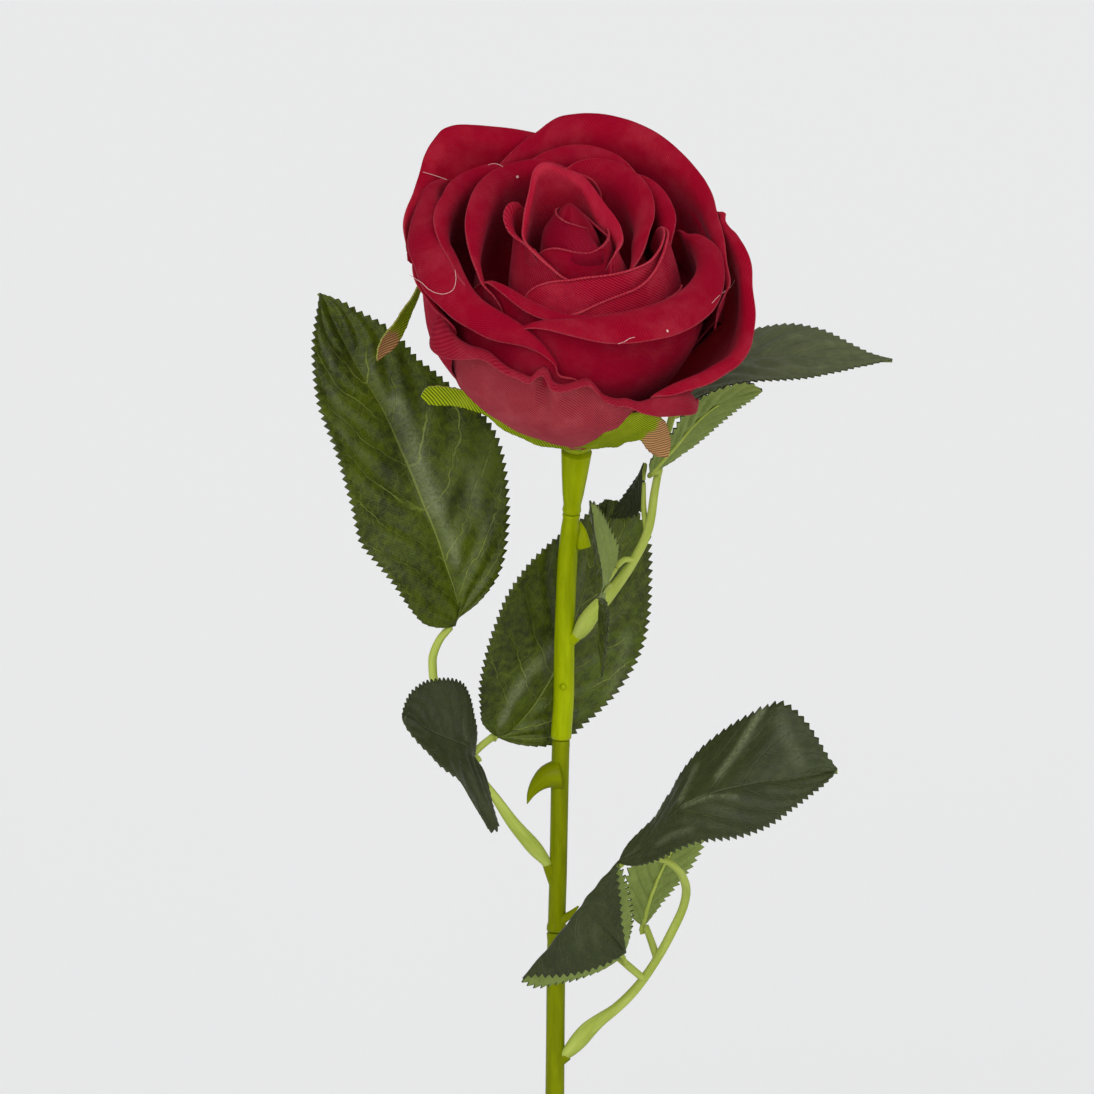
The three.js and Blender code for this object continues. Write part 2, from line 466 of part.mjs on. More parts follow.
function leafGeometry(leaf) {
  const { base, bend, tip, face, faceTip = face, half, fold, curl, teeth } = leaf;
  const { lean = [0.8, 0.8], blunt = 0.72 } = leaf;
  const midrib = new THREE.QuadraticBezierCurve3(vector(base), vector(bend), vector(tip));
  const rows = [];
  const steps = 2 * teeth;
  for (let step = 0; step <= steps; step++) {
    const v = step / steps;
    const tangent = midrib.getTangentAt(v);
    const looks = vector(face).lerp(vector(faceTip), v);
    const normal = looks.addScaledVector(tangent, -looks.dot(tangent)).normalize();
    const side = new THREE.Vector3().crossVectors(normal, tangent);
    const centre = midrib.getPointAt(v);
    const tooth = step % 2 && step < steps ? 1.06 : 0.94;
    const row = [-1, -0.5, 0, 0.5, 1].map((across) => {
      const which = across < 0 ? 0 : 1;
      const widest = half[which] * leafOutline(v, lean[which], blunt);
      const reach = Math.abs(across) * widest * (Math.abs(across) === 1 ? tooth : 1);
      const lift = reach * Math.sin(radians(fold)) - curl * reach * reach * 0.25;
      const aside = Math.sign(across) * reach * Math.cos(radians(fold));
      return centre.clone().addScaledVector(side, aside).addScaledVector(normal, lift);
    });
    rows.push(row);
  }
  return blade(rows, LEAF_CLOTH);
}

// ---- Bloom ------------------------------------------------------------------------------------

const PETAL_RISE = [0, 0.34, 0.66, 1];
const rollSteps = (widest) => (widest < 1.3 ? [] : widest < 3 ? [1] : [0.5, 1]);

function place(azimuth, radius, height) {
  return new THREE.Vector3(radius * Math.cos(azimuth), radius * Math.sin(azimuth), height);
}

/** One petal: it grows from the core, swells to its belly, reaches its rim and rolls over. */
function petalGeometry({ belly, rim }, cloth) {
  const edge = new CarriedCurve(rim, [3, 4]);
  const columns = Math.max(5, Math.min(10, Math.round(edge.path.getLength() / 8)));
  const stations = Array.from({ length: columns + 1 }, (_, column) => edge.at(column / columns));
  let turned = Math.atan2(stations[0].point.y, stations[0].point.x);
  const azimuths = stations.map(({ point }) => {
    const here = Math.atan2(point.y, point.x);
    turned += Math.atan2(Math.sin(here - turned), Math.cos(here - turned));
    return turned;
  });
  const middle = (azimuths[0] + azimuths[columns]) / 2;
  const widestRoll = Math.max(...rim.map((point) => point[3] ?? 0));
  const bodies = stations.map(({ point }, column) => {
    const rimRadius = Math.hypot(point.x, point.y);
    const profile = new THREE.SplineCurve([
      new THREE.Vector2(BLOOM.rootRadius, BLOOM.rootHeight),
      new THREE.Vector2(0.52 * belly[0], BLOOM.rootHeight + 0.34 * (belly[1] - BLOOM.rootHeight)),
      new THREE.Vector2(belly[0], belly[1]),
      new THREE.Vector2(rimRadius, point.z),
    ]);
    const root = middle + (azimuths[column] - middle) * BLOOM.rootSpread;
    return PETAL_RISE.map((rise) => {
      const { x: radius, y: height } = profile.getPoint(rise);
      return place(THREE.MathUtils.lerp(root, azimuths[column], Math.sqrt(rise)), radius, height);
    });
  });
  const rows = PETAL_RISE.map((_, row) => bodies.map((body) => body[row]));
  rollSteps(widestRoll).forEach((step) => {
    rows.push(stations.map(({ point, values: [out, down] }, column) => {
      const reach = out * step * (1.3 - 0.3 * step) + 0.15 * step;
      const height = point.z + 0.5 * out * step * (1 - step) - down * step * step - 0.15 * step;
      return place(azimuths[column], Math.hypot(point.x, point.y) + reach, height);
    }));
  });
  return blade(rows, cloth);
}

/** The bloom's core and all its petals as one body, grown by a margin on every side. */
function bloomBody(margin) {
  const core = BLOOM_CORE.map(([radius, height]) => [radius && radius + margin, height - margin]);
  return fuse([lathe(core, 12), ...PETALS.map((petal) => petalGeometry(petal, PETAL_CLOTH + 2 * margin))]);
}

function sepalGeometry(points) {
  const line = new CarriedCurve(points, [3]);
  const steps = 9;
  const rows = Array.from({ length: steps + 1 }, (_, step) => {
    const { point, values: [halfWidth] } = line.at(step / steps);
    const tangent = line.path.getTangentAt(step / steps);
    const side = new THREE.Vector3(-point.y, point.x, 0).normalize();
    side.addScaledVector(tangent, -side.dot(tangent)).normalize();
    return [-1, 0, 1].map((across) => point.clone().addScaledVector(side, across * halfWidth));
  });
  return blade(rows, PETAL_CLOTH);
}

// ---- Assembly ---------------------------------------------------------------------------------

const rose = new THREE.Group();
rose.add(part('vase', vaseGeometry(), GLAZE));

const bore = solid(wholeStemBar(STEM.boreRadius, 0, 1));
rose.add(part('stem_wire', wholeStemBar(STEM.wireRadius, 0.004, 0.995), WIRE_STEEL));
Object.keys(SLEEVES).forEach((name) => rose.add(part(name, sleeveGeometry(name, bore), STEM_GREEN)));

Object.entries(SPRAYS).forEach(([name, lines]) => rose.add(part(name, stalkGeometry(lines), STALK_GREEN)));
Object.entries(LEAVES).forEach(([name, leaf]) => rose.add(part(name, leafGeometry(leaf), LEAF_GREEN)));

const head = new THREE.Group();
head.position.set(...BLOOM.place);
head.rotation.x = radians(BLOOM.nod);
const calyx = fuse([lathe(CALYX_DISH, 14), ...SEPALS.map(sepalGeometry)]).subtract(bloomBody(SEAT_GAP));
head.add(part('bloom', outerSkin(geometryFrom(bloomBody(0))), PETAL_RED));
head.add(part('calyx', outerSkin(geometryFrom(calyx)), SEPAL_GREEN));
rose.add(head);

export default rose;
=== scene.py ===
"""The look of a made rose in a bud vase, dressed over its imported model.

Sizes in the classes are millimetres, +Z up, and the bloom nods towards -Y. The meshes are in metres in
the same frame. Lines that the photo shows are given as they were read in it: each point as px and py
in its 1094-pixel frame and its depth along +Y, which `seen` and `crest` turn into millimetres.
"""

import logging
import math
from dataclasses import dataclass, field, replace
from enum import Enum

import bmesh
import bpy
import numpy as np
from mathutils import Matrix, Vector


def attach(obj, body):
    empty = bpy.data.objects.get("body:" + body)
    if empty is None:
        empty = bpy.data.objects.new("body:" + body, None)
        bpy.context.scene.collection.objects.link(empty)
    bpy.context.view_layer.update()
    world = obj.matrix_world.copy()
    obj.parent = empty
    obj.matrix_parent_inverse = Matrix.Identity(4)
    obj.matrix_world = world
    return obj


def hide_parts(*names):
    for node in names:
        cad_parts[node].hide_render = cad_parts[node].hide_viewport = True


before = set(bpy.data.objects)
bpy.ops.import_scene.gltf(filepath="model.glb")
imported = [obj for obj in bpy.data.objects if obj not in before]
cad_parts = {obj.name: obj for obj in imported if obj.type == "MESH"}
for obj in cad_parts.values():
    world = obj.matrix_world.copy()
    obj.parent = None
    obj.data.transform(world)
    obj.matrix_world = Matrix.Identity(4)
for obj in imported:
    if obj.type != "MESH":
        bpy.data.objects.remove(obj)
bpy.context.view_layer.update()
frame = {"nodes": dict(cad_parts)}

MM = 0.001
LEAF_VEINS = 7.5
LEAF_SLANT = 0.3
LOG = logging.getLogger("rose")

Point = tuple[float, ...]
Colour = tuple[float, float, float]
Sheet = tuple[np.ndarray, np.ndarray, np.ndarray]
Socket = bpy.types.NodeSocket
Material = bpy.types.Material


# ---- Lines, waves and the photo's line of sight ----

class SmoothLine:
    """A smooth line through points, read by its length, that also carries further columns."""

    samples = np.linspace(0.0, 1.0, 1201)
    closest = 1e-4
    nudge = 1e-3

    def __init__(self, points: tuple[Point, ...], carried: int = 0) -> None:
        """Measures the line.

        Args:
            points: x, y, z and up to `carried` further values for each point.
            carried: how many further values the points may hold; missing ones are 0.
        """
        width = 3 + carried
        table = np.array([tuple(p) + (0.0,) * (width - len(p)) for p in points], float)
        self.knots, self.values = table[:, :3], table[:, 3:]
        self.reach = run(self._place(self.samples))

    @property
    def length(self) -> float:
        """The line's length in millimetres."""
        return float(self.reach[-1])

    def _place(self, t: np.ndarray) -> np.ndarray:
        """Points at knot parameters from 0 to 1, on centripetal spans."""
        last = len(self.knots) - 1
        index = np.clip(np.floor(t * last).astype(int), 0, last - 1)
        w = (t * last - index)[:, None]
        knots = np.vstack([2 * self.knots[0] - self.knots[1], self.knots,
                           2 * self.knots[-1] - self.knots[-2]])
        p0, p1, p2, p3 = (knots[index + k] for k in range(4))
        d0, d1, d2 = (np.maximum(np.linalg.norm(b - a, axis=1), self.closest)[:, None] ** 0.5
                      for a, b in ((p0, p1), (p1, p2), (p2, p3)))
        t1 = ((p1 - p0) / d0 - (p2 - p0) / (d0 + d1) + (p2 - p1) / d1) * d1
        t2 = ((p2 - p1) / d1 - (p3 - p1) / (d1 + d2) + (p3 - p2) / d2) * d1
        cubic = 2 * p1 - 2 * p2 + t1 + t2
        square = -3 * p1 + 3 * p2 - 2 * t1 - t2
        return p1 + t1 * w + square * w ** 2 + cubic * w ** 3

    def at(self, fractions: np.ndarray) -> tuple[np.ndarray, np.ndarray]:
        """Points and carried values at fractions of the length.

        Args:
            fractions: places along the line, from 0 to 1.

        Returns:
            The points and the carried values, one row each.
        """
        t = np.interp(np.asarray(fractions) * self.length, self.reach, self.samples)
        last = len(self.knots) - 1
        index = np.clip(np.floor(t * last).astype(int), 0, last - 1)
        w = (t * last - index)[:, None]
        return self._place(t), self.values[index] * (1 - w) + self.values[index + 1] * w

    def tangents(self, fractions: np.ndarray) -> np.ndarray:
        """Unit directions of the line at fractions of its length."""
        ahead, _ = self.at(np.clip(np.asarray(fractions) + self.nudge, 0, 1))
        behind, _ = self.at(np.clip(np.asarray(fractions) - self.nudge, 0, 1))
        return unit(ahead - behind)


def unit(vectors: np.ndarray) -> np.ndarray:
    """Vectors at length 1, along the last axis."""
    return vectors / np.maximum(np.linalg.norm(vectors, axis=-1, keepdims=True), 1e-9)


def run(points: np.ndarray) -> np.ndarray:
    """How far each point lies from the first one, along the line of points."""
    return np.concatenate([[0.0], np.cumsum(np.linalg.norm(np.diff(points, axis=0), axis=1))])


def sheet_map(first: np.ndarray, second: np.ndarray) -> np.ndarray:
    """A map of a sheet from its two coordinates, each a row, a column or a table."""
    return np.stack(np.broadcast_arrays(first, second), -1)


def softened(table: np.ndarray, passes: int, axis: int = 0) -> np.ndarray:
    """Evens a table out along one axis and keeps its two ends.

    Args:
        table: any numbers.
        passes: how many times each value is drawn towards its two neighbours.
        axis: the axis to work along.

    Returns:
        The softened table.
    """
    rows = np.moveaxis(np.array(table, float), axis, 0)
    for _ in range(passes):
        rows[1:-1] = 0.25 * rows[:-2] + 0.5 * rows[1:-1] + 0.25 * rows[2:]
    return np.moveaxis(rows, 0, axis)


@dataclass(frozen=True)
class Ripples:
    """Smooth uneven waves over a flat piece of cloth, about -1 to 1."""

    seed: int
    wavelength: float
    waves: int = 6

    def at(self, across: np.ndarray, along: np.ndarray) -> np.ndarray:
        """The waves at places on the cloth, in millimetres."""
        draw = np.random.default_rng(self.seed)
        total = np.zeros(np.broadcast(across, along).shape)
        for _ in range(self.waves):
            turn = draw.uniform(0, 2 * math.pi)
            pace = 2 * math.pi / (self.wavelength * draw.uniform(0.7, 1.5))
            phase = draw.uniform(0, 2 * math.pi)
            total = total + np.sin(pace * (across * math.cos(turn) + along * math.sin(turn)) + phase)
        return total / math.sqrt(2 * self.waves)


@dataclass(frozen=True)
class Sight:
    """The camera's line of sight, which turns what the photo shows into millimetres and back."""

    frame: int = 1094
    pixel: float = 0.24
    distance: float = 2400.0
    target_height: float = 296.0
    elevation: float = 12.0
    passes: int = 30

    @property
    def tilt(self) -> float:
        """How far the camera looks down, in radians."""
        return math.radians(self.elevation)

    def growth(self, depth: float, rise: float) -> float:
        """How much wider a pixel is at this depth and this height over the target."""
        return 1 + (depth * math.cos(self.tilt) - rise * math.sin(self.tilt)) / self.distance

    def spot(self, x: float, y: float, z: float) -> tuple[float, float]:
        """Where the photo shows a place: px and py."""
        rise = z - self.target_height
        pixel = self.pixel * self.growth(y, rise)
        up = y * math.sin(self.tilt) + rise * math.cos(self.tilt)
        return self.frame / 2 + x / pixel, self.frame / 2 - up / pixel

    def place(self, px: float, py: float, depth: float, *carried: float) -> Point:
        """The place that the photo shows at a point, to a tenth of a millimetre.

        Args:
            px: pixels from the photo's left edge.
            py: pixels from its top edge.
            depth: the place along +Y.
            carried: further values, passed on.

        Returns:
            x, y and z, then the carried values.
        """
        x, rise = 0.0, 0.0
        for _ in range(self.passes):
            pixel = self.pixel * self.growth(depth, rise)
            x = (px - self.frame / 2) * pixel
            rise = ((self.frame / 2 - py) * pixel - depth * math.sin(self.tilt)) / math.cos(self.tilt)
        return (round(x, 1), round(float(depth), 1), round(self.target_height + rise, 1), *carried)


SIGHT = Sight()


def seen(*points: Point) -> tuple[Point, ...]:
    """A line read in the photo, in millimetres."""
    return tuple(SIGHT.place(*point) for point in points)


# ---- Meshes ----

class MeshBench:
    """One bmesh on which a piece is laid out in millimetres and finished as an object."""

    turned_girth = 100.0
    weld = 1e-7

    def __init__(self, name: str) -> None:
        """Opens a bench for one piece."""
        self.name = name
        self.mesh = bmesh.new()
        self.cloth = self.mesh.loops.layers.uv.new("cloth")
        self.form = self.mesh.loops.layers.uv.new("form")

    def lay(self, grid: np.ndarray, cloth: np.ndarray, form: np.ndarray, finish: int = 0,
            painted_sheen_weight: np.ndarray | None = None) -> None:
        """Lays a sheet of faces on a table of points.

        Args:
            grid: points as [row, column, xyz].
            cloth: the unrolled place of each point, in millimetres.
            form: the place of each point on the piece's form, 0 to 1.
            finish: index of the finish.
            painted_sheen_weight: how strongly a highlight is painted on the cloth at each point, 0 to 1.
        """
        # A vertex layer carries the weight of the painted highlight.
        pale_patches = None if painted_sheen_weight is None else self.mesh.verts.layers.float.new("painted_sheen_weight")
        rows, columns = grid.shape[0] - 1, grid.shape[1] - 1
        made = bmesh.ops.create_grid(self.mesh, x_segments=columns, y_segments=rows, size=0.5)["verts"]
        if len(made) != (rows + 1) * (columns + 1):
            raise ValueError(f"{self.name}: the grid has {len(made)} points")
        place = {}
        for vert in made:
            place[vert] = (round((vert.co.y + 0.5) * rows), round((vert.co.x + 0.5) * columns))
        for vert, (i, j) in place.items():
            vert.co = grid[i, j] * MM
            if pale_patches is not None:
                vert[pale_patches] = float(painted_sheen_weight[i, j])
        for face in {face for vert in made for face in vert.link_faces}:
            face.smooth = True
            face.material_index = finish
            for loop in face.loops:
                loop[self.cloth].uv = cloth[place[loop.vert]]
                loop[self.form].uv = form[place[loop.vert]]

    def rod(self, centres: np.ndarray, radii: np.ndarray, sides: int = 20, finish: int = 0,
            flat: float = 1.0) -> None:
        """Lays a round rod along points and closes both its ends.

        Args:
            centres: the rod's middle line.
            radii: its radius at each point.
            sides: faces round the rod.
            finish: index of the finish.
            flat: depth of the section as a share of its width.
        """
        tangent = unit(np.gradient(centres, axis=0))
        normal = np.zeros_like(centres)
        normal[0] = unit(np.cross(tangent[0], (1.0, 0.0, 0.0)))
        for k in range(1, len(centres)):
            normal[k] = unit(normal[k - 1] - tangent[k] * np.dot(normal[k - 1], tangent[k]))
        across = np.cross(tangent, normal)
        angle = np.linspace(0, 2 * math.pi, sides + 1)
        rim = (normal[:, None] * np.cos(angle)[None, :, None] * flat
               + across[:, None] * np.sin(angle)[None, :, None])
        grid = centres[:, None] + rim * radii[:, None, None]
        grid = np.concatenate([np.repeat(centres[:1, None], sides + 1, 1), grid,
                               np.repeat(centres[-1:, None], sides + 1, 1)])
        along = run(centres)
        along = np.concatenate([along[:1], along, along[-1:]])
        girth = 2 * math.pi * float(np.mean(radii))
        turn = angle / (2 * math.pi)
        self.lay(grid, sheet_map(turn[None] * girth, along[:, None]),
                 sheet_map(turn[None], along[:, None] / max(along[-1], 1e-6)), finish)

    def turned(self, profile: list[Point], steps: int, place: Matrix, finishes: list[int]) -> None:
        """Spins a profile round +Z.

        Args:
            profile: radius and height of each point, from one end on the axis to the other.
            steps: faces round the axis.
            place: where the turned form goes.
            finishes: index of the finish of each stretch of the profile.
        """
        points = [self.mesh.verts.new((radius * MM, 0, height * MM)) for radius, height in profile]
        edges = [self.mesh.edges.new(pair) for pair in zip(points, points[1:])]
        before = set(self.mesh.faces)
        bmesh.ops.spin(self.mesh, geom=points + edges, cent=(0, 0, 0), axis=(0, 0, 1), dvec=(0, 0, 0),
                       angle=2 * math.pi, steps=steps, use_merge=True)
        faces = [face for face in self.mesh.faces if face not in before]
        verts = list({vert for face in faces for vert in face.verts})
        heights = np.array([height for _, height in profile]) * MM
        radii = np.array([radius for radius, _ in profile]) * MM
        length = run(np.stack([radii, heights], 1)) / MM
        for face in faces:
            face.smooth = True
            middle = face.calc_center_median()
            reach = math.hypot(middle.x, middle.y)
            stretch = int(np.argmin(np.hypot((radii[1:] + radii[:-1]) / 2 - reach,
                                             (heights[1:] + heights[:-1]) / 2 - middle.z)))
            face.material_index = finishes[min(stretch, len(finishes) - 1)]
            for loop in face.loops:
                knot = int(np.argmin(np.hypot(radii - math.hypot(loop.vert.co.x, loop.vert.co.y),
                                              heights - loop.vert.co.z)))
                turn = math.atan2(loop.vert.co.y, loop.vert.co.x) / (2 * math.pi) % 1
                if middle.y < 0 and turn < 0.25:
                    turn += 1
                loop[self.cloth].uv = (turn * self.turned_girth, length[knot])
                loop[self.form].uv = (turn, length[knot] / length[-1])
        bmesh.ops.transform(self.mesh, matrix=place, verts=verts)

    def object(self, finishes: list[Material], nodes: tuple[str, ...],
               thickness: float = 0.0) -> bpy.types.Object:
        """Finishes the piece and gives it to the frame.

        Args:
            finishes: the materials, in the order of the finish indices.
            nodes: the solids that the piece stands for.
            thickness: wall given to a sheet, in millimetres; 0 for a closed form.

        Returns:
            The finished object.
        """
        bmesh.ops.remove_doubles(self.mesh, verts=self.mesh.verts, dist=self.weld)
        if not thickness:
            bmesh.ops.recalc_face_normals(self.mesh, faces=self.mesh.faces)
        data = bpy.data.meshes.new(self.name)
        self.mesh.to_mesh(data)
        self.mesh.free()
        for finish in finishes:
            data.materials.append(finish)
        made = bpy.data.objects.new(self.name, data)
        bpy.context.scene.collection.objects.link(made)
        if thickness:
            wall = made.modifiers.new("cloth thickness", "SOLIDIFY")
            wall.thickness = thickness * MM
            wall.offset = 0.0
            wall.use_even_offset = False
            wall.material_offset = 1
            wall.material_offset_rim = 2
        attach(made, "root")
        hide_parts(*nodes)
        LOG.info("%s: %d faces", self.name, len(data.polygons))
        return made


# ---- Finishes ----

class NodeBench:
    """A bench for wiring one shader tree."""

    def __init__(self, tree: bpy.types.NodeTree) -> None:
        """Opens a bench on a tree."""
        self.tree = tree

    def node(self, kind: str, **settings: object) -> bpy.types.Node:
        """A new node with its settings."""
        made = self.tree.nodes.new(kind)
        for key, value in settings.items():
            setattr(made, key, value)
        return made

    def feed(self, socket: Socket, value: object) -> None:
        """Links an output into a socket, or sets the socket's own value."""
        if isinstance(value, Socket):
            self.tree.links.new(value, socket)
        elif isinstance(value, tuple) and len(value) == 3 and socket.type == "RGBA":
            socket.default_value = (*value, 1.0)
        else:
            socket.default_value = value

    def sum(self, operation: str, *values: object, clamp: bool = False) -> Socket:
        """A Math node's result."""
        made = self.node("ShaderNodeMath", operation=operation, use_clamp=clamp)
        for socket, value in zip(made.inputs, values):
            self.feed(socket, value)
        return made.outputs[0]

    def times(self, *values: object) -> Socket:
        """A product."""
        return self.sum("MULTIPLY", *values)

    def plus(self, *values: object) -> Socket:
        """A total."""
        return self.sum("ADD", *values)

    def blend(self, factor: object, low: object, high: object) -> Socket:
        """A colour between two colours."""
        made = self.node("ShaderNodeMix", data_type="RGBA")
        for index, value in ((0, factor), (6, low), (7, high)):
            self.feed(made.inputs[index], value)
        return made.outputs[2]

    def stretch(self, value: object, low: float, high: float, to_low: float = 0.0,
                to_high: float = 1.0) -> Socket:
        """A value mapped smoothly from one range to another, held at both ends."""
        made = self.node("ShaderNodeMapRange", interpolation_type="SMOOTHSTEP")
        for index, number in enumerate((value, low, high, to_low, to_high)):
            self.feed(made.inputs[index], number)
        return made.outputs[0]

    def cloud(self, vector: object, scale: float, detail: float = 3.0,
              rough: float = 0.55) -> Socket:
        """Noise, 0 to 1."""
        made = self.node("ShaderNodeTexNoise")
        self.feed(made.inputs["Vector"], vector)
        for key, value in (("Scale", scale), ("Detail", detail), ("Roughness", rough)):
            made.inputs[key].default_value = value
        return made.outputs["Fac"]

    def map(self, name: str) -> Socket:
        """One of the piece's own UV maps."""
        return self.node("ShaderNodeUVMap", uv_map=name).outputs["UV"]

    def parts(self, vector: object) -> tuple[Socket, Socket]:
        """The first two numbers of a vector."""
        made = self.node("ShaderNodeSeparateXYZ")
        self.feed(made.inputs[0], vector)
        return made.outputs[0], made.outputs[1]

    def joined(self, x: object, y: object) -> Socket:
        """A vector of two numbers."""
        made = self.node("ShaderNodeCombineXYZ")
        self.feed(made.inputs[0], x)
        self.feed(made.inputs[1], y)
        return made.outputs[0]

    def group(self, tree: bpy.types.NodeTree, **values: object) -> bpy.types.Node:
        """A shared effect with this finish's own values."""
        made = self.node("ShaderNodeGroup", node_tree=tree)
        for key, value in values.items():
            self.feed(made.inputs[key], value)
        return made

    def fix(self, shader: bpy.types.Node, values: dict[str, object]) -> None:
        """Sets what is the same all over on a node's own sockets."""
        for key, value in values.items():
            shader.inputs[key].default_value = value

    def dress(self, shader: bpy.types.Node, colour: object, roughness: object) -> None:
        """Gives a shader its colour and its roughness."""
        self.feed(shader.inputs["Base Color"], colour)
        self.feed(shader.inputs["Roughness"], roughness)

    def bump(self, shader: bpy.types.Node, height: object, strength: float, depth: float) -> None:
        """Presses a height, of this depth in millimetres, into a shader's surface."""
        made = self.node("ShaderNodeBump")
        self.fix(made, {"Strength": strength, "Distance": depth * MM})
        self.feed(made.inputs["Height"], height)
        self.feed(shader.inputs["Normal"], made.outputs[0])


def effect(name: str, inputs: dict[str, object],
           outputs: tuple[str, ...]) -> tuple[bpy.types.NodeTree, bpy.types.Node, bpy.types.Node]:
    """An empty shared effect.

    Args:
        name: the effect's name.
        inputs: default value of each input; a tuple makes a vector socket.
        outputs: the names of its outputs, each a number.

    Returns:
        The tree, its input node and its output node.
    """
    tree = bpy.data.node_groups.new(name, "ShaderNodeTree")
    for key, value in inputs.items():
        kind = "NodeSocketVector" if isinstance(value, tuple) else "NodeSocketFloat"
        tree.interface.new_socket(key, in_out="INPUT", socket_type=kind).default_value = value
    for key in outputs:
        tree.interface.new_socket(key, in_out="OUTPUT", socket_type="NodeSocketFloat")
    return tree, tree.nodes.new("NodeGroupInput"), tree.nodes.new("NodeGroupOutput")


def twill_effect() -> bpy.types.NodeTree:
    """Twill cloth: slanting ribs crossed by single threads. Place is in millimetres."""
    tree, given, out = effect("twill weave", {"Place": (0.0, 0.0, 0.0), "Pitch": 0.5, "Fray": 0.35},
                              ("Height", "Rib"))
    bench = NodeBench(tree)
    x, y = bench.parts(given.outputs["Place"])
    stray = bench.times(bench.cloud(given.outputs["Place"], 1.6, 4.0, 0.7), given.outputs["Fray"])
    x = bench.plus(bench.sum("DIVIDE", x, given.outputs["Pitch"]), stray)
    y = bench.sum("DIVIDE", y, given.outputs["Pitch"])
    slant = bench.sum("MULTIPLY_ADD", y, 0.75, bench.times(x, 0.66))
    slant = bench.sum("SINE", bench.times(slant, 2 * math.pi))
    rib = bench.sum("MULTIPLY_ADD", slant, 0.5, 0.5)
    threads = bench.times(bench.sum("SINE", bench.times(x, 2 * math.pi)),
                        bench.sum("SINE", bench.times(y, 2 * math.pi)))
    height = bench.plus(bench.times(rib, 0.7),
                       bench.sum("MULTIPLY_ADD", threads, 0.15, 0.15))
    bench.feed(out.inputs["Height"], height)
    bench.feed(out.inputs["Rib"], rib)
    return tree


def veins_effect() -> bpy.types.NodeTree:
    """A leaflet's veins. Form is across and along the leaf, 0 to 1; Place is in millimetres."""
    tree, given, out = effect("leaf veins", {"Form": (0.0, 0.0, 0.0), "Place": (0.0, 0.0, 0.0),
                                             "Veins": LEAF_VEINS, "Slant": LEAF_SLANT},
                              ("Midrib", "Veins", "Net"))
    bench = NodeBench(tree)
    wander = bench.cloud(given.outputs["Place"], 0.11, 3.0)
    across, along = bench.parts(given.outputs["Form"])
    side = bench.sum("ABSOLUTE", bench.sum("MULTIPLY_ADD", across, 2.0, -1.0))
    midrib = bench.stretch(side, 0.006, 0.024, 1.0, 0.0)
    back = bench.times(bench.sum("POWER", side, 1.25), given.outputs["Slant"])
    root = bench.plus(bench.sum("SUBTRACT", along, back),
                     bench.sum("MULTIPLY_ADD", wander, 0.09, -0.045))
    step = bench.sum("FRACT", bench.sum("MULTIPLY_ADD", root, given.outputs["Veins"], 20.0))
    near = bench.sum("ABSOLUTE", bench.sum("SUBTRACT", step, 0.5))
    width = bench.sum("MULTIPLY_ADD", side, -0.02, 0.05)
    veins = bench.times(bench.stretch(bench.sum("DIVIDE", near, width), 0.2, 1.0, 1.0, 0.0),
                      bench.stretch(side, 0.86, 1.0, 1.0, 0.0))
    net = bench.node("ShaderNodeTexVoronoi", feature="DISTANCE_TO_EDGE")
    bench.feed(net.inputs["Vector"], given.outputs["Place"])
    net.inputs["Scale"].default_value = 0.42
    bench.feed(out.inputs["Midrib"], midrib)
    bench.feed(out.inputs["Veins"], veins)
    bench.feed(out.inputs["Net"], bench.stretch(net.outputs["Distance"], 0.01, 0.08, 1.0, 0.0))
    return tree


class Effects:
    """The effects that more than one finish uses, each built once."""

    made: dict[str, bpy.types.NodeTree] = {}

    @classmethod
    def get(cls, name: str) -> bpy.types.NodeTree:
        """The effect of this name."""
        makers = {"twill": twill_effect, "veins": veins_effect}
        if name not in cls.made:
            cls.made[name] = makers[name]()
        return cls.made[name]


def blank_finish(name: str) -> tuple[Material, NodeBench, bpy.types.Node]:
    """A new material, a bench on its tree and its shader."""
    made = bpy.data.materials.new(name)
    made.use_nodes = True
    bench = NodeBench(made.node_tree)
    return made, bench, made.node_tree.nodes["Principled BSDF"]


